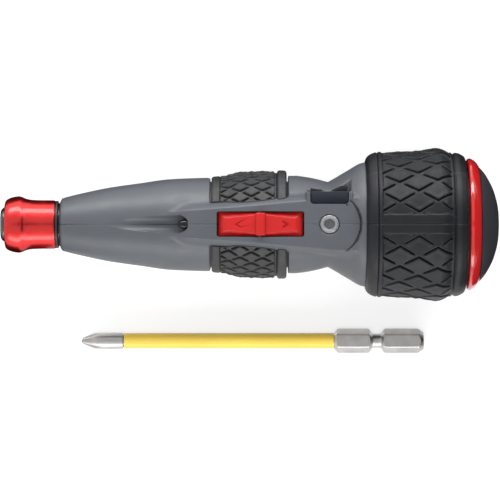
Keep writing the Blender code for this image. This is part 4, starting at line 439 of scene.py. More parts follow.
MATERIALS = {
    "housing_plastic": material(
        "moulded_grey", (0.084, 0.092, 0.105), 0.42, vary=0.05, patch=14, grain=0.28, depth=0.02, wear_and_edge_highlight=0.12,
        painted_crease_shade=0.5, specular=0.5,
    ),
    "grip_rubber": material(
        "black_rubber", (0.0085, 0.0092, 0.0112), 0.46, vary=0.14, patch=7, grain=0.2, depth=0.02, dust=0.015,
        wear_and_edge_highlight=0.3, painted_crease_shade=0.95, specular=0.3,
    ),
    "red_anodised": material(
        "red_anodised", (0.78, 0.035, 0.035), 0.3, metallic=1.0, vary=0.04, patch=16, grain=0.3, depth=0.001,
        stretch=(1, 9, 9), rings=0.3, coat=0.5, coat_roughness=0.16, edge_tint=(0.25, 0.12, 0.12),
    ),
    "red_plastic": material(
        "red_plastic", (0.50, 0.014, 0.014), 0.36, vary=0.05, patch=10, grain=0.35, depth=0.006, wear_and_edge_highlight=0.15,
        painted_crease_shade=0.6, specular=0.35,
    ),
    "cap_plastic": material(
        "charcoal_plastic", (0.033, 0.0335, 0.041), 0.42, vary=0.08, patch=12, grain=0.25, depth=0.014,
        specular=0.35,
    ),
    "cover_rubber": material(
        "navy_rubber", (0.007, 0.009, 0.017), 0.5, vary=0.1, patch=6, grain=0.2, depth=0.012, wear_and_edge_highlight=0.3,
        specular=0.25,
    ),
    "clear_plastic": material(
        "clear_plastic", (0.46, 0.47, 0.48), 0.2, vary=0.03, patch=5, grain=0.4, depth=0.003, coat=0.5,
        transmission=0.6,
    ),
    "bright_steel": material(
        "bright_steel", (0.56, 0.56, 0.58), 0.24, metallic=1.0, vary=0.08, patch=6, grain=0.2, depth=0.002,
        stretch=(9, 1, 1), scratch=0.25,
    ),
    "hex_steel": material(
        "hex_steel", (0.55, 0.54, 0.525), 0.38, metallic=1.0, vary=0.1, patch=5, grain=0.16, depth=0.004,
        stretch=(12, 1, 1), scratch=0.5, wear_and_edge_highlight=0.5,
    ),
    "black_plastic": material("black_plastic", (0.015, 0.015, 0.016), 0.45, vary=0.15, patch=8, depth=0.01),
    "sintered_bronze": material(
        "sintered_bronze", (0.45, 0.27, 0.1), 0.5, metallic=1.0, vary=0.18, patch=2, grain=0.12, depth=0.015,
    ),
    "gear_plastic": material("gear_plastic", (0.75, 0.73, 0.68), 0.42, vary=0.05, patch=4, depth=0.006),
    "magnet_black": material("magnet_black", (0.03, 0.03, 0.032), 0.6, metallic=0.2, patch=3, depth=0.02),
    "copper": material("copper", (0.72, 0.32, 0.14), 0.3, metallic=1.0, patch=3, depth=0.004, rings=0.4),
    "board_green": material(
        "board_green", (0.01, 0.14, 0.05), 0.35, vary=0.2, patch=3, depth=0.006, coat=0.4,
    ),
    "cell_wrap": material("cell_wrap", (0.05, 0.22, 0.5), 0.3, patch=10, depth=0.006, coat=0.3, scratch=0.1),
    "wire_red": material("wire_red", (0.55, 0.01, 0.01), 0.4, patch=3, depth=0.006),
    "wire_black": material("wire_black", (0.01, 0.01, 0.01), 0.4, patch=3, depth=0.006),
    "jacket_yellow": material(
        "jacket_yellow", (0.98, 0.68, 0.10), 0.42, vary=0.03, patch=12, grain=0.3, depth=0.004, scratch=0.12,
        coat=0.1,
    ),
}

# Finishes of single pieces, which differ from the material of their slot
DARK_STEEL = material(
    "dark_chrome", (0.12, 0.115, 0.115), 0.24, metallic=1.0, vary=0.1, patch=4, grain=0.2, depth=0.002,
    rings=0.35,
)
RING_RED = material(
    "gloss_red", (0.48, 0.011, 0.011), 0.16, vary=0.04, patch=12, grain=0.5, depth=0.002, coat=0.8,
)
FRONT_RUBBER = material(
    "front_rubber", (0.023, 0.0235, 0.025), 0.5, vary=0.12, patch=5, grain=0.2, depth=0.018, dust=0.02,
    wear_and_edge_highlight=0.3, painted_crease_shade=0.9, specular=0.45,
)
SMOKED_PLASTIC = material(
    "smoked_plastic", (0.075, 0.08, 0.085), 0.3, vary=0.12, patch=1.2, grain=0.25, depth=0.01, coat=0.2,
)
# The headlight dome is nearly black: painted shade of the deep bore that it sits in
LAMP_GLASS_IN_PAINTED_SHADE = material(
    "lamp_glass_painted_shade", (0.004, 0.0045, 0.006), 0.1, vary=0.05, patch=3, grain=0.5, depth=0.001, coat=0.2,
    specular=0.3,
)


def dress(piece, body, slot, nodes, finish=None):
    """Give a new piece its material, the body that it moves with, and the solids that it stands for."""
    piece.data.materials.clear()
    piece.data.materials.append(finish or MATERIALS[slot])
    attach(piece, body)
    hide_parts(*nodes)
    return piece


# Housing

NECK = curve([
    (-6.7, 6.5), (-6.45, 7.1), (-6.1, 7.6), (-5.4, 7.85), (1.0, 9.4), (7.3, 10.7), (16.8, 12.07),
    (25.2, 13.2), (32.0, 13.5), (36.3, 13.6), (36.8, 13.5), (37.0, 13.2),
])
WAIST = curve([
    (59.6, 13.95), (59.85, 14.2), (62.0, 14.22), (62.7, 14.15), (65.5, 13.75), (69.0, 13.0), (70.6, 12.55),
    (71.2, 12.4),
])
CONE = curve([(71.2, 12.4), (71.9, 12.75), (76.6, 15.5), (81.1, 17.95), (81.9, 18.1)])
BALL_SEAT = curve([(82.1, 17.75), (86.7, 19.0), (96.7, 19.5), (104.3, 19.25), (111.1, 17.3)])
PLATEAU_HEIGHT = curve([(25.6, 12.6), (28.8, 14.4), (31.0, 15.3), (33.2, 15.6), (79.4, 15.6)])
PLATEAU_HALF_WIDTH = curve([
    (25.6, 3.3), (28.8, 3.85), (31.0, 4.05), (33.0, 4.2), (41.7, 4.8), (59.0, 6.3), (66.5, 6.9), (77.8, 7.7),
    (79.4, 7.6),
])


def body_radius(x):
    """Radius of the housing's round body, whose steps are hidden under the grips, ring and cap."""
    return np.select(
        [x <= GRIP_X, x < GRIP_SEAT_END_X, x <= WAIST_X, x <= BALL_GRIP_X, x <= BALL_GRIP_END_X],
        [NECK(x), GRIP_SEAT_RADIUS, WAIST(x), CONE(x), BALL_SEAT(x)], CAP_SEAT_RADIUS,
    )


def plateau_distance(x, side, z):
    """Roughly how far a point lies outside the plateau, whose long sides slope and then drop."""
    height, width = PLATEAU_HEIGHT(x), PLATEAU_HALF_WIDTH(x)
    top = z - height
    slope = (SLOPE_DROP * (side - width) + SLOPE_RUN * (z - height)) / SLOPE_LENGTH
    wall = side - width - SLOPE_RUN
    ends = np.maximum(np.maximum(PLATEAU_X - x, x - PLATEAU_END_X), -z)
    return np.maximum(soft_max(soft_max(top, slope, 0.5), wall, 0.8), ends)


def housing_distance(x, y, z):
    """Roughly how far a point lies outside the housing's outer surface."""
    side = np.abs(y)
    body = np.hypot(y, z) - body_radius(x)
    shape = soft_min(body, plateau_distance(x, side, z), 0.9)

    # The block behind the port cover, the round pocket that it stands in, and the cover's notch
    spread = PORT_X - x
    from_lens = np.hypot(spread, y)
    block_top = PLATEAU_TOP + 0.16 * step(2.6, 4.4, y)
    block_side = soft_max(y - PORT_SIDE, z - block_top, 0.35)
    block = soft_max(np.abs(x - PORT_X) - PORT_BLOCK_HALF, block_side, 0.12)
    shape = np.minimum(shape, np.maximum(block, np.maximum(-y, -z)))
    pocket_wall = from_lens - POCKET_RADIUS - 0.12 * (z - PLATEAU_TOP)
    shape = carve(shape, soft_max(block_top - z, pocket_wall, 0.2), 0.12)
    notch_half = 6.2
    notch = np.maximum(np.maximum(np.abs(spread) - notch_half, PORT_SIDE - y), PORT_SIDE - z)
    shape = carve(shape, notch, 0.3)

    # The lamp's gutter, and the recesses of the rocker and the lens
    beyond = np.maximum(x - GUTTER_END_X, 0)
    below = np.minimum(z - GUTTER_Z, 0)
    gutter = np.sqrt(beyond ** 2 + y ** 2 + below ** 2) - GUTTER_RADIUS
    shape = carve(shape, gutter, 0.15)
    recess_half_x, recess_half_y, recess_corner, recess_floor = 11.9, 3.0, 0.6, 14.9
    past_x = np.maximum(np.abs(x - ROCKER_X) - recess_half_x, 0)
    across = np.hypot(past_x, np.maximum(side - recess_half_y, 0)) - recess_corner
    shape = carve(shape, soft_max(across, recess_floor - z, 0.3), 0.3)
    lens_recess, lens_floor = 3.1, 15.35
    shape = carve(shape, np.maximum(from_lens - lens_recess, lens_floor - z), 0.2)

    # The arc round the lens, the trench outside the port cover and a small dimple
    arc_radius, arc_half, arc_depth = 9.05, 0.22, 0.45
    arc = np.maximum(np.abs(from_lens - arc_radius) - arc_half, block_top - arc_depth - z)
    shape = carve(shape, np.maximum(arc, spread + 4.5 + 1.5 * step(2.0, 6.0, y)), 0.15)
    trench_half, trench_y, trench_width, trench_floor = 5.3, 9.65, 0.3, 8.0
    trench = np.maximum(np.abs(spread) - trench_half, np.abs(y - trench_y) - trench_width)
    shape = carve(shape, np.maximum(trench, trench_floor - z), 0.1)
    dimple = np.sqrt((x - 76.5) ** 2 + (y - 5.5) ** 2 + (z - 15.7) ** 2) - 0.4
    return carve(shape, dimple, 0.15)


def housing_half(side):
    """The outer form of one half as a solid, flat at the parting plane."""
    stations = np.unique(np.round(np.concatenate([
        np.linspace(-6.7, -5.4, 9), np.arange(-5.4, 5, 0.8), np.arange(5, 22, 0.5), np.arange(22, 36, 0.25),
        np.arange(36, 37.2, 0.1), np.arange(37.4, 59.5, 0.25), np.arange(59.55, 60.1, 0.08),
        np.arange(60.25, 81.8, 0.22), np.arange(81.8, 82.2, 0.1), np.arange(83, 111, 2.0),
        [111.1, 111.3, 114.5],
    ]), 4))
    angles = np.radians(np.unique(np.concatenate([
        [0], np.arange(1.0, 40, 0.55), np.arange(40, 60, 1.0), np.arange(60, 180, 2.0), [180],
    ])))
    x, angle = np.meshgrid(stations, angles, indexing="ij")
    low = np.full_like(x, 3.0)
    high = np.full_like(x, 26.0)
    for _ in range(22):  # halve the range of radii in which the surface lies
        middle = (low + high) / 2
        outside = housing_distance(x, side * middle * np.sin(angle), middle * np.cos(angle)) > 0
        high = np.where(outside, middle, high)
        low = np.where(outside, low, middle)
    radius = (low + high) / 2
    y = side * radius * np.sin(angle)
    z = radius * np.cos(angle)
    y[:, [0, -1]] = side * SEAM
    z[:, 0] -= 0.1
    z[:, -1] += 0.1
    builder = bmesh.new()
    grid = lattice(builder, np.stack([x, y, z], -1))
    for row in (grid[0], grid[-1]):
        builder.faces.new(row)
    builder.faces.new([row[0] for row in grid] + [row[-1] for row in reversed(grid)])
    return piece_from("shell", builder, sharp=40)


def housing_tools():
    """What is hollow in the housing: the room for the cell and gears, and all openings."""
    room = turned("room", [
        (-9, 5.3), (-5.35, 5.3), (-5.35, 6.6), (5.1, 6.6), (5.1, 7.7), (8.7, 9.6), (20.75, 9.6),
        (20.75, 10.5), (48.4, 10.5), (48.4, 10.9), (66.4, 10.9), (68.0, 9.45), (74.4, 9.45), (81.9, 14.8),
        (85.1, 16.4), (103.1, 16.4), (109.5, 14.0), (116.5, 14.0),
    ], sides=48)
    bosses = [prism("boss", circle(2.4, (z, x), 24), -23, 23, "Y") for x, z, _ in SCREWS]
    boolean(room, bosses)
    tools = [
        room,
        box("switch_room", (37.7, -4.6, 9.0), (64.3, 4.6, ROOF_UNDERSIDE)),
        box("port_room", (64.0, -5.5, 9.0), (79.3, 6.6, ROOF_UNDERSIDE)),
        box("port_side_room", (65.6, 6.0, 9.01), (79.29, 8.0, ROOF_UNDERSIDE - 0.01)),
        box("wire_channel", (79.0, -2.0, 9.0), (109.5, 2.0, 11.75)),
        prism("window", rounded_box(12.5, 3.6, 0.6, (ROCKER_X, 0)), ROOF_UNDERSIDE - 1, 18, "Z"),
        prism("pin_hole", circle(PIN_HOLE_RADIUS, (ROCKER_Z, ROCKER_X), 24), -6.0, 6.0, "Y"),
        prism("lens_hole", circle(2.92, (PORT_X, 0)), ROOF_UNDERSIDE - 1, 18, "Z"),
        box("port_window", (PORT_X - 4.77, 7.7, PORT_Z - 1.88), (PORT_X + 4.77, 11.4, PORT_Z + 1.88)),
        cover_form("cover_recess", 0.2, 2.0),
        prism("lamp_hole", circle(1.7, (0, GUTTER_Z), 32), GUTTER_END_X, 38.2),
    ]
    for x, z, seat in SCREWS:
        tools.append(prism("screw_hole", circle(1.15, (z, x), 24), -seat - 2, 7.5 - seat + 0.3, "Y"))
        tools.append(prism("head_hole", circle(1.8, (z, x), 32), -23, -seat, "Y"))
    return tools


def cover_form(name, grown=0.0, lift=0.0):
    """The port cover's angled section, with round lower corners seen from above."""
    inner, outer = PORT_SIDE - 3.4 - grown, PORT_SIDE + lift
    side_inner = PORT_SIDE - 1.2 - grown
    top, under = PLATEAU_TOP + lift, PLATEAU_TOP - 1.2 - grown
    bottom = PLATEAU_TOP - 5.9 - grown
    outline = [
        (inner, top), (inner, under), (side_inner, under),
        (side_inner, bottom), (outer, bottom), (outer, top),
    ]
    half = 5.35 + grown
    body = prism(name, outline, PORT_X - half, PORT_X + half)
    corners = rounded_box(half, 8.4 + grown, 0.85 + grown, (PORT_X, PORT_SIDE + 5.0))
    return boolean(body, [prism("corners", corners, 5, 22, "Z")], "INTERSECT")


def make_housing():
    """The two housing halves, hollow and with their openings."""
    for name, side in (("housing_left", -1), ("housing_right", 1)):
        half = housing_half(side)
        half.name = name + "_moulding"
        boolean(half, housing_tools(), sharp=38)
        dress(half, "housing", "housing_plastic", [name])


# Rubber grips

# Diamond pads: place and angle of the first, half their length, half their angle, size of the lips
BALL_PADS = (91.5, math.radians(18.0), 5.42, math.radians(8.5), 3.0)
FRONT_PADS = (42.5, math.radians(31.5), 3.24, math.radians(7.5), 1.9)
GROOVE_HALF, GROOVE_DEPTH = 0.23, 0.5


def scale_pattern(x, angle, radius, first_x, first_angle, half_x, half_angle, size):
    """Height of overlapping diamond pads, each with a V groove along its two edges nearest the top seam."""
    half_arc = half_angle * radius
    across = (x - first_x) / half_x
    along = (angle - first_angle - half_angle) / half_angle
    s, t = (across + along) / 2, (along - across) / 2
    reach = 2 / np.sqrt(1 / half_x ** 2 + 1 / half_arc ** 2)
    height = np.zeros_like(x)
    for line, run in ((s, t), (t, s)):
        gone = (line - np.floor(line) - 0.5) * reach
        arm = run + 0.5 - np.floor(run + 0.5)
        fade = 1 - step(0.66, 0.82, arm)
        fade = np.maximum(fade, step(0.96, 1.0, arm))
        groove = np.exp(-(gone / GROOVE_HALF) ** 4) * fade
        lip = np.where(gone > 0, np.exp(-((gone - 0.3) / (0.28 * size)) ** 2), 0) * fade
        drop = np.where(gone < 0, np.exp(gone / (0.30 * size)), 0) * fade
        height += -GROOVE_DEPTH * groove + 0.15 * lip * step(0.0, 0.25, gone) - 0.1 * drop
    return height


BALL_GRIP = curve([
    (82.1, 18.7), (82.35, 19.3), (82.9, 20.0), (83.8, 20.6), (85.2, 21.05), (88.0, 21.15), (91.8, 21.3),
    (97.9, 21.8), (102.0, 22.25), (103.4, 22.3), (104.6, 22.0), (106.5, 21.07), (107.5, 20.66), (108.1, 20.9),
    (108.8, 20.85), (110.2, 20.25), (110.8, 19.85), (111.1, 19.3),
])
FRONT_GRIP = curve([
    (37.4, 13.5), (37.6, 13.75), (38.0, 13.95), (41.2, 14.25), (44.9, 15.2), (49.0, 15.5), (52.0, 15.55),
    (55.3, 15.5), (55.9, 15.06), (56.4, 15.15), (56.7, 15.7), (57.2, 15.8), (58.6, 15.75), (59.0, 15.5),
    (59.2, 15.1),
])


def groove_at(x, place, width, depth):
    """Height of a groove round the grip, which is negative."""
    return -depth * np.exp(-((x - place) / width) ** 2)


def ball_grip_height(x, angle):
    """Radius of the ball grip's outer surface."""
    radius = BALL_GRIP(x)
    arc = angle * radius
    bottom_arc = (math.pi - angle) * radius
    field = step(86.55, 86.85, x) * (1 - step(106.35, 106.65, x))
    field = field * step(2.55, 2.95, arc) * step(2.3, 2.7, bottom_arc)
    pads, sunk = scale_pattern(x, angle, radius, *BALL_PADS), 0.22
    height = radius + field * (pads - sunk)
    height += groove_at(x, 85.45, 0.14, 0.3) + groove_at(x, 107.5, 0.2, 0.15)
    rib = np.exp(-((x - 86.2) / 0.28) ** 2) + np.exp(-((x - 106.9) / 0.22) ** 2)
    return height + 0.12 * rib


def front_grip_height(x, angle):
    """Radius of the front grip's outer surface."""
    radius = FRONT_GRIP(x)
    edge_arc = (angle - front_grip_edge(x, radius)) * radius
    bottom_arc = (math.pi - angle) * radius
    field = step(40.1, 40.35, x) * (1 - step(55.35, 55.6, x))
    field = field * step(0.25, 0.6, edge_arc) * step(1.6, 2.0, bottom_arc)
    pads, sunk = 1.1 * scale_pattern(x, angle, radius, *FRONT_PADS), 0.12
    height = radius + field * (pads - sunk)
    return height + groove_at(x, 39.9, 0.13, 0.35) + groove_at(x, 56.25, 0.1, 0.2)


def front_grip_edge(x, radius):
    """Angle from the top at which the front grip begins at a radius, beside the plateau's slope."""
    gap = 0.07
    angle = np.full_like(x, 0.5)
    for _ in range(12):  # the edge's height and angle depend on each other
        drop = PLATEAU_TOP - radius * np.cos(angle)
        spread = np.clip(drop * SLOPE_RUN / SLOPE_DROP, 0, SLOPE_RUN)
        angle = np.arcsin((PLATEAU_HALF_WIDTH(x) + spread + gap) / radius)
    return angle


def grip_layers(side, stations, angles, height, under_angles, seat):
    """Points of the outer and inner surface of one half of a grip."""
    x = np.repeat(stations[:, None], angles.shape[1], 1)
    under = np.repeat(seat[:, None], angles.shape[1], 1)
    radius = height(x, angles)
    radius[:, [0, -1]] -= 0.18  # round the long edges
    radius[:, [1, -2]] -= 0.03
    radius = np.maximum(radius, under + 0.3)
    layers = []
    for r, angle in ((radius, angles), (under, under_angles)):
        layers.append(np.stack([x, side * r * np.sin(angle), r * np.cos(angle)], -1))
        layers[-1][:, -1, 1] = side * SEAM
    return layers


def make_grips():
    """Four rubber halves with their pads, collars and ribs."""
    ball_x = np.concatenate([
        np.linspace(82.1, 82.9, 8), np.arange(83.1, 85.2, 0.3), np.arange(85.25, 106.9, 0.16),
        np.arange(107.0, 111.0, 0.2), [111.1],
    ])
    ball_rows = np.radians(np.concatenate([[0], np.linspace(0.6, 179.4, 358), [180]]))
    front_x = np.concatenate([
        np.linspace(37.4, 38.0, 6), np.arange(38.2, 39.6, 0.25), np.arange(39.7, 56.9, 0.14),
        np.arange(57.0, 58.9, 0.2), np.linspace(58.9, 59.2, 4),
    ])
    share = np.concatenate([[0], np.linspace(0.004, 0.996, 250), [1]])
    ball_angles = np.repeat(ball_rows[None], len(ball_x), 0)
    ball_seat = np.minimum(BALL_SEAT(ball_x) + 0.2, BALL_GRIP(ball_x) - 0.6)
    front_angles, seat_angles = [
        start[:, None] + share[None] * (math.pi - start[:, None])
        for start in (
            front_grip_edge(front_x, FRONT_GRIP(front_x)), front_grip_edge(front_x, FRONT_GRIP_UNDERSIDE),
        )
    ]
    front_seat = np.full_like(front_x, FRONT_GRIP_UNDERSIDE)
    for side, word in ((-1, "left"), (1, "right")):
        outer, inner = grip_layers(side, ball_x, ball_angles, ball_grip_height, ball_angles, ball_seat)
        outer[:, 0, 1] = inner[:, 0, 1] = side * SEAM
        piece = shell("ball_grip_%s_rubber" % word, outer, inner, sharp=60)
        dress(piece, "housing", "grip_rubber", ["ball_grip_" + word])
        outer, inner = grip_layers(side, front_x, front_angles, front_grip_height, seat_angles, front_seat)
        piece = shell("front_grip_%s_rubber" % word, outer, inner, sharp=60)
        dress(piece, "housing", "grip_rubber", ["front_grip_" + word], FRONT_RUBBER)


# Nose

SLEEVE = curve([
    (-22.75, 6.45), (-22.6, 6.85), (-22.3, 7.2), (-21.9, 7.48), (-20.8, 7.9), (-19.5, 8.17), (-18.7, 8.23),
    (-17.9, 8.05), (-17.0, 7.66), (-16.1, 7.37), (-14.8, 7.18), (-12.5, 7.08), (-8.6, 7.05), (-8.3, 6.98),
    (-8.05, 6.8),
])


def make_holder():
    """The turning bit holder, with its flared hex socket, magnet pocket and ball hole."""
    holder = turned("bit_holder_steel", fillet([
        (-24.0, 0, 0), (-24.0, 4.0, 0.2), (-23.65, 4.6, 0.3), (-23.1, 5.0, 0.4), (-22.75, 5.0, 0),
        (-22.75, 4.45, 0), (-22.1, 4.45, 0), (-22.1, 5.0, 0), (-7.15, 5.0, 0), (-7.15, 6.2, 0.15),
        (-6.85, 6.3, 0.1), (-6.85, 5.0, 0), (3.6, 5.0, 0), (3.6, 4.35, 0), (4.35, 4.35, 0), (4.35, 5.0, 0),
        (5.0, 5.0, 0), (5.0, 3.0, 0), (10.35, 3.0, 0.2), (10.35, 0, 0),
    ]), sides=96)
    tools = [
        prism("socket", hexagon(SOCKET_FLATS), -26, 0),
        turned("mouth", [(-26, 5.6), (-23.4, 3.15)], sides=96),
        turned("pocket", [(-2, 2.85), (3.15, 2.85)], sides=32),
        prism("ball_hole", circle(1.32, (-14, 0), 24), 0, 6, "Z"),
    ]
    boolean(holder, tools)
    dress(holder, "spindle", "bright_steel", ["bit_holder"], DARK_STEEL)


def make_sleeve():
    """The red release sleeve, hollow inside, and the thin black ring behind it."""
    outer = sampled(SLEEVE, SLEEVE_X, SLEEVE_END_X, 0.12)
    bore = fillet([
        (SLEEVE_END_X, 5.15, 0), (-9.45, 5.15, 0), (-9.45, 5.95, 0), (-11.0, 5.95, 0), (-14.0, 5.35, 0),
        (-17.0, 5.35, 0), (-17.0, 6.25, 0), (-22.7, 6.25, 0.1), (-22.75, 6.3, 0),
    ])
    sleeve = turned("release_sleeve_red", outer + bore, sides=160, closed=True, sharp=30)
    dress(sleeve, "sleeve", "red_anodised", ["release_sleeve"])
    ring = fillet([(-7.95, 5.2, 0), (-7.95, 6.9, 0.15), (-7.25, 6.9, 0.15), (-7.25, 5.2, 0)], closed=True)
    dress(turned("stop_ring_black", ring, sides=96, closed=True), "spindle", "black_plastic", ["stop_ring"])


def make_spring():
    """The sleeve's spring, wound closer at both ends, which shortens as the sleeve is drawn forward."""
    first_x, last_x, middle, wire, turns = -21.19, -17.36, 5.6, 0.22, 4.0
    pitch = curve([(0.0, 0.0), (0.2, 0.11), (0.5, 0.5), (0.8, 0.89), (1.0, 1.0)])
    rows = []
    for share in np.linspace(0, 1, int(turns * 40) + 1):
        around = math.tau * turns * share
        x = first_x + (last_x - first_x) * float(pitch(share))
        row = []
        for corner in np.arange(12) * math.tau / 12:
            radius = middle + wire * math.cos(corner)
            row.append((x + wire * math.sin(corner), radius * math.cos(around), radius * math.sin(around)))
        rows.append(row)
    spring = skin("sleeve_spring_coil", rows, sharp=60)
    dress(spring, "spindle", "bright_steel", ["sleeve_spring"])
    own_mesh(spring)


# Tail

def make_tail():
    """Red ring and domed end cap."""
    profile = curve([
        (RING_X, 18.55), (111.7, 18.85), (112.1, 19.2), (112.6, 19.25), (113.0, 19.1), (113.8, 18.6),
        (114.5, 17.9), (RING_END_X, 17.1),
    ])
    bore = 16.1
    outline = sampled(profile, RING_X, RING_END_X, 0.1) + [(RING_END_X, bore), (RING_X, bore)]
    ring = turned("tail_ring_red", outline, sides=192, closed=True)
    dress(ring, "housing", "red_plastic", ["tail_ring"], RING_RED)
    end_x, cap_radius = 121.1, 16.7
    dome = curve([
        (0.0, end_x), (4.7, 120.78), (9.6, 119.6), (13.9, 117.5), (16.0, 115.95), (cap_radius, CAP_X),
    ])
    outline = [(end_x, 0.0)]
    for radius in np.linspace(0.6, cap_radius, 36):
        outline.append((float(dome(radius)), float(radius)))
    outline += [
        (CAP_X, 13.8), (110.6, 13.8), (110.6, 12.3), (115.3, 12.3), (118.6, 7.0), (119.3, 4.0), (113.7, 4.0),
        (113.7, 0.0),
    ]
    cap = turned("tail_cap_dome", outline, sides=160)
    boolean(cap, [box("wire_notch", (109.0, -2.0, 6.55), (CAP_X, 2.0, 16.0))])
    dress(cap, "housing", "cap_plastic", ["tail_cap"])


# Rocker, port cover, lamps

def make_rocker():
    """The red rocker: sloped wings with flanks, a round ridge, arrow marks, and a lug and feet below."""
    half_x, half_y, flank_top = 12.25, 3.42, 14.4
    sections = [  # share of the half length, half width on top, height
        (-1.0, 3.05, 13.05), (-0.99, 3.15, 14.0), (-0.965, 3.1, 14.4), (-0.83, 1.72, 15.56),
        (-0.8, 1.66, 15.66), (-0.5, 2.1, 15.80), (-0.145, 2.62, 15.95), (-0.125, 2.68, 16.02),
        (-0.112, 2.95, 16.62), (-0.09, 3.0, 16.88), (-0.04, 3.05, 16.98), (0.0, 3.05, 17.0),
    ]
    sections += [(-x, w, z) for x, w, z in reversed(sections[:-1])]
    rows = []
    for share, width, top in sections:
        x = ROCKER_X + share * half_x
        flank = min(flank_top, top - 0.05)
        right = [
            (half_y, ROCKER_BOTTOM), (half_y, flank - 0.15), (half_y - 0.06, flank),
            (width + 0.12, top - 0.16), (width, top - 0.03), (width - 0.2, top),
        ]
        left = [(-y, z) for y, z in reversed(right)]
        ring = left[-1:] + right + [(0, top + 0.02)] + left[:-1]
        rows.append([(x, y, z) for y, z in ring])
    rocker = skin("rocker_red", rows, sharp=40)
    arrow = [(0, 0), (1.35, 0.78), (1.55, 0.6), (0.42, 0), (1.55, -0.6), (1.35, -0.78)]
    marks = []
    for direction, tip in ((-1, 44.3), (1, 59.4)):
        outline = [(tip - direction * back, aside) for back, aside in arrow]
        marks.append(prism("mark", outline, 15.6, 17.2, "Z"))
    boolean(rocker, marks, sharp=40)
    under = [prism("lug", circle(1.6, (ROCKER_Z, ROCKER_X), 32), -3.0, 3.0, "Y")]
    for x in (44.6, 58.6):
        under.append(box("foot", (x - 0.8, -1.3, 12.7), (x + 0.8, 1.3, 13.3)))
    boolean(rocker, under, "UNION", sharp=40)
    pin_hole = prism("pin_hole", circle(PIN_HOLE_RADIUS, (ROCKER_Z, ROCKER_X), 32), -5.3, 5.3, "Y")
    boolean(rocker, [pin_hole], sharp=40)
    dress(rocker, "rocker", "red_plastic", ["rocker"])


def make_cover():
    """The rubber cover of the charging port."""
    cover = cover_form("port_cover_flap")
    bevelled(cover, 0.25)
    dress(cover, "port_cover", "cover_rubber", ["port_cover"])


def make_lens():
    """Indicator lens with a smoked middle and a light pipe below, and the headlight's dome."""
    outline = fillet([
        (0, 15.22, 0), (1.5, 15.28, 0.1), (1.56, 15.5, 0.08), (1.85, 15.66, 0.15), (2.25, 15.66, 0.2),
        (2.5, 15.4, 0.12), (2.62, 15.36, 0.1), (2.72, 15.1, 0.1), (2.72, 14.4, 0), (1.25, 14.4, 0),
        (1.25, 11.35, 0.1), (0, 11.35, 0),
    ])
    lens = turned("indicator_lens_clear", [(z, r) for r, z in outline], sides=96)
    lens.data.transform(Matrix.Translation((PORT_X * MM, 0, 0)) @ Matrix.Rotation(-math.pi / 2, 4, "Y"))
    dress(lens, "housing", "clear_plastic", ["indicator_lens"])
    lens.data.materials.append(SMOKED_PLASTIC)
    smoked_radius, lowest = 1.54, 15
    for face in lens.data.polygons:
        centre = face.center / MM
        inside = math.hypot(centre.x - PORT_X, centre.y) < smoked_radius
        face.material_index = int(inside and centre.z > lowest)
    front, depth, radius, flange = 27.75, 2.8, 1.5, 34.1
    dome = [
        (front + depth * (1 - math.cos(a)), radius * math.sin(a)) for a in np.linspace(0, math.pi / 2, 12)
    ]
    lamp = turned("headlight_dome", [*dome, (flange, radius)], sides=48, offset=(0, 0, GUTTER_Z))
    dress(lamp, "housing", "clear_plastic", ["headlight"], LAMP_GLASS_IN_PAINTED_SHADE)


# Driver bit

def make_bit():
    """The loose bit, with its cross-point tip and its hex shank, and the jacket round its rod."""
    rod, corner = 1.8, 3.62
    head = fillet([
        (BIT_TIP_X, 0, 0), (BIT_TIP_X, 0.55, 0.15), (-0.95, 0.95, 0.2), (2.35, 2.32, 0.5), (3.1, 2.4, 0.3),
        (10.85, 2.4, 0.15), (11.0, rod, 0), (75.0, rod, 0), (75.0, 0, 0),
    ], steps=6)
    bit = turned("driver_bit_steel", head, sides=64)
    shank = prism("shank", hexagon(SHANK_FLATS), SHANK_X, BIT_END_X)
    flank = [(2.4, corner, 0.3), (1.9, 3.1, 0.4), (1.35, 2.15, 0.5)]
    turning = turned("turning", fillet([
        (SHANK_X, 0, 0), (SHANK_X, 2.45, 0.2), (74.7, corner, 0.4),
        *[(LOCK_GROOVE_X - away, radius, reach) for away, radius, reach in flank],
        (LOCK_GROOVE_X, 2.05, 0.8),
        *[(LOCK_GROOVE_X + away, radius, reach) for away, radius, reach in reversed(flank)],
        (98.5, corner, 0.4), (99.9, 2.75, 0.3), (BIT_END_X, 2.45, 0.2), (BIT_END_X, 0, 0),
    ], steps=6), sides=96)
    boolean(shank, [turning], "INTERSECT", sharp=25)
    boolean(bit, [shank], "UNION", sharp=25)
    flutes = []
    for quarter in range(4):
        outline = rounded_box(1.5, 1.5, 0.35, (1.82, 1.82), 4)
        flute = prism("flute", outline, -6.0, 6.6)
        tilt = Matrix.Rotation(math.radians(15), 4, Vector((0, -1, 1)))
        flute.data.transform(Matrix.Rotation(quarter * math.pi / 2, 4, "X") @ tilt)
        flute.data.transform(Matrix.Translation((BIT_TIP_X * MM, 0, 0)))
        flutes.append(flute)
    boolean(bit, flutes, sharp=25)
    start, end, bore, outside = 11.15, 73.45, 1.95, 2.25
    outline = fillet([
        (start, bore, 0), (start, outside, 0.12), (end, outside, 0.12), (end, bore, 0),
    ], closed=True)
    jacket = turned("bit_jacket_yellow", outline, sides=64, closed=True)
    for piece in (bit, jacket):
        piece.data.transform(Matrix.Translation((0, BIT_Y * MM, BIT_Z * MM)))
    dress(bit, "bit", "hex_steel", ["driver_bit"])
    dress(jacket, "bit", "jacket_yellow", ["bit_jacket"])


# Stage, in metres

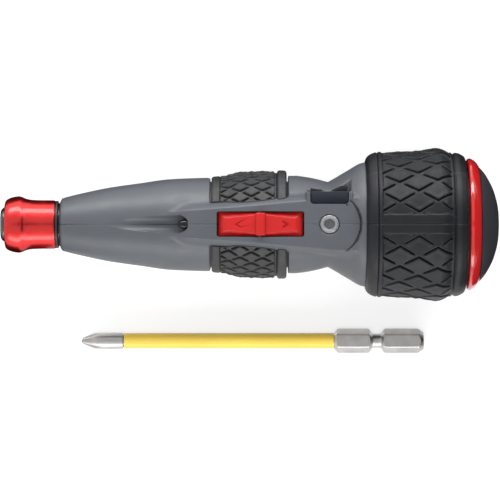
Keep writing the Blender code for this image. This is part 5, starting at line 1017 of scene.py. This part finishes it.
FLOOR_HALF, FLOOR_SHADE, FLOOR_GLOW, AMBIENT = 3.0, 0.45, 0.62, 0.5
LAMP_AIM = (0.05, 0, 0)
LAMPS = (  # name, place, size, power, seen in reflections
    ("lamp_left", (0.05, -0.72, 0.30), (1.4, 0.28), 5.2, True),
    ("lamp_right", (0.05, 0.72, 0.30), (1.4, 0.28), 9.4, True),
    ("lamp_above", (0.05, -0.15, 1.3), (0.7, 0.3), 5.2, False),
)
CARD_HIGH, CARD_LOW = 1.02, FLOOR_Z * MM + 0.0005
CARDS = (  # name, lowest and highest corner
    ("card_above", (-0.04, -0.06, CARD_HIGH), (0.8, 0.13, CARD_HIGH)),
    ("card_ahead", (-0.7, -0.03, CARD_HIGH), (-0.04, 0.045, CARD_HIGH)),
    ("card_behind", (0.9, -0.6, -0.02), (0.9, 0.6, CARD_HIGH)),
    ("card_rear", (0.125, -0.25, CARD_LOW), (0.9, 0.25, CARD_LOW)),
    ("card_nose", (-0.06, -0.09, CARD_LOW), (-0.012, 0.09, CARD_LOW)),
    ("card_below", (-0.04, -0.018, CARD_LOW), (0.17, 0.06, CARD_LOW)),
)
CAMERA_PLACE, CAMERA_LENS = (0.04857, -0.00743, 0.95), 234.6


def make_floor():
    """A white floor that keeps the object's shadow."""
    mesh = bpy.data.meshes.new("floor")
    half, z = FLOOR_HALF, FLOOR_Z * MM
    corners = [(-half, -half, z), (half, -half, z), (half, half, z), (-half, half, z)]
    mesh.from_pydata(corners, [], [(0, 1, 2, 3)])
    floor = link("floor", mesh)
    white = bpy.data.materials.new("white_floor")
    white.use_nodes = True
    tree = white.node_tree
    tree.nodes.clear()
    diffuse = tree.nodes.new("ShaderNodeBsdfDiffuse")
    diffuse.inputs["Color"].default_value = (FLOOR_SHADE, FLOOR_SHADE, FLOOR_SHADE, 1)
    glow = tree.nodes.new("ShaderNodeEmission")
    add = tree.nodes.new("ShaderNodeAddShader")
    out = tree.nodes.new("ShaderNodeOutputMaterial")
    tree.links.new(seen_directly(tree, FLOOR_GLOW), glow.inputs["Strength"])
    tree.links.new(diffuse.outputs[0], add.inputs[0])
    tree.links.new(glow.outputs[0], add.inputs[1])
    tree.links.new(add.outputs[0], out.inputs["Surface"])
    mesh.materials.append(white)


def make_surround():
    """A surround that looks white but lights the object less."""
    world = bpy.data.worlds.new("surround")
    bpy.context.scene.world = world
    world.use_nodes = True
    tree = world.node_tree
    ambient = tree.nodes["Background"]
    ambient.inputs["Color"].default_value = (1, 1, 1, 1)
    ambient.inputs["Strength"].default_value = AMBIENT
    backdrop = tree.nodes.new("ShaderNodeBackground")
    backdrop.inputs["Strength"].default_value = 1.0
    mix = tree.nodes.new("ShaderNodeMixShader")
    tree.links.new(seen_directly(tree, 1.0), mix.inputs["Fac"])
    tree.links.new(ambient.outputs[0], mix.inputs[1])
    tree.links.new(backdrop.outputs[0], mix.inputs[2])
    tree.links.new(mix.outputs[0], tree.nodes["World Output"].inputs["Surface"])


def make_lamps():
    """Soft lamps at both sides and above."""
    for name, place, size, power, seen in LAMPS:
        light = bpy.data.lights.new(name, "AREA")
        light.shape = "RECTANGLE"
        light.size, light.size_y = size
        light.energy = power
        lamp = bpy.data.objects.new(name, light)
        lamp.location = place
        lamp.rotation_euler = (Vector(LAMP_AIM) - Vector(place)).to_track_quat("-Z", "Y").to_euler()
        lamp.visible_camera = False
        lamp.visible_glossy = seen
        bpy.context.scene.collection.objects.link(lamp)


def make_cards():
    """Black cards that only reflections see, for the dark parts of the sheen."""
    dark = bpy.data.materials.new("dark_card")
    dark.use_nodes = True
    shader = dark.node_tree.nodes["Principled BSDF"]
    shader.inputs["Base Color"].default_value = (0.01, 0.01, 0.01, 1)
    shader.inputs["Specular IOR Level"].default_value = 0.0
    for name, low, high in CARDS:
        (x0, y0, z0), (x1, y1, z1) = low, high
        mesh = bpy.data.meshes.new(name)
        mesh.from_pydata([(x0, y0, z0), (x1, y0, z1), (x1, y1, z1), (x0, y1, z0)], [], [(0, 1, 2, 3)])
        mesh.materials.append(dark)
        card = link(name, mesh)
        card.visible_camera = card.visible_diffuse = card.visible_shadow = card.visible_transmission = False


def make_camera():
    """The photo's view from above."""
    camera = bpy.data.cameras.new("camera")
    camera.lens = CAMERA_LENS
    camera.sensor_width = 36
    camera.clip_start, camera.clip_end = 0.05, 20
    view = bpy.data.objects.new("camera", camera)
    view.location = CAMERA_PLACE
    bpy.context.scene.collection.objects.link(view)
    bpy.context.scene.camera = view
    bpy.context.scene.view_settings.view_transform = "Standard"


def seen_directly(tree, strength):
    """Strength for camera, glossy and transmission rays, and 0 for the rest."""
    path = tree.nodes.new("ShaderNodeLightPath")
    total = path.outputs["Is Camera Ray"]
    for name in ("Is Glossy Ray", "Is Transmission Ray"):
        add = tree.nodes.new("ShaderNodeMath")
        add.operation = "MAXIMUM"
        tree.links.new(total, add.inputs[0])
        tree.links.new(path.outputs[name], add.inputs[1])
        total = add.outputs[0]
    scale = tree.nodes.new("ShaderNodeMath")
    scale.operation = "MULTIPLY"
    scale.inputs[1].default_value = strength
    tree.links.new(total, scale.inputs[0])
    return scale.outputs[0]


def dress_solids():
    """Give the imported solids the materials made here, slot by slot."""
    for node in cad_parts.values():
        for socket in node.material_slots:
            base = socket.material.name.split(".")[0] if socket.material else ""
            if base in MATERIALS:
                socket.material = MATERIALS[base]


make_floor()
make_surround()
make_lamps()
make_cards()
make_camera()
dress_solids()
make_housing()
make_grips()
make_holder()
make_sleeve()
make_spring()
make_tail()
make_rocker()
make_cover()
make_lens()
make_bit()
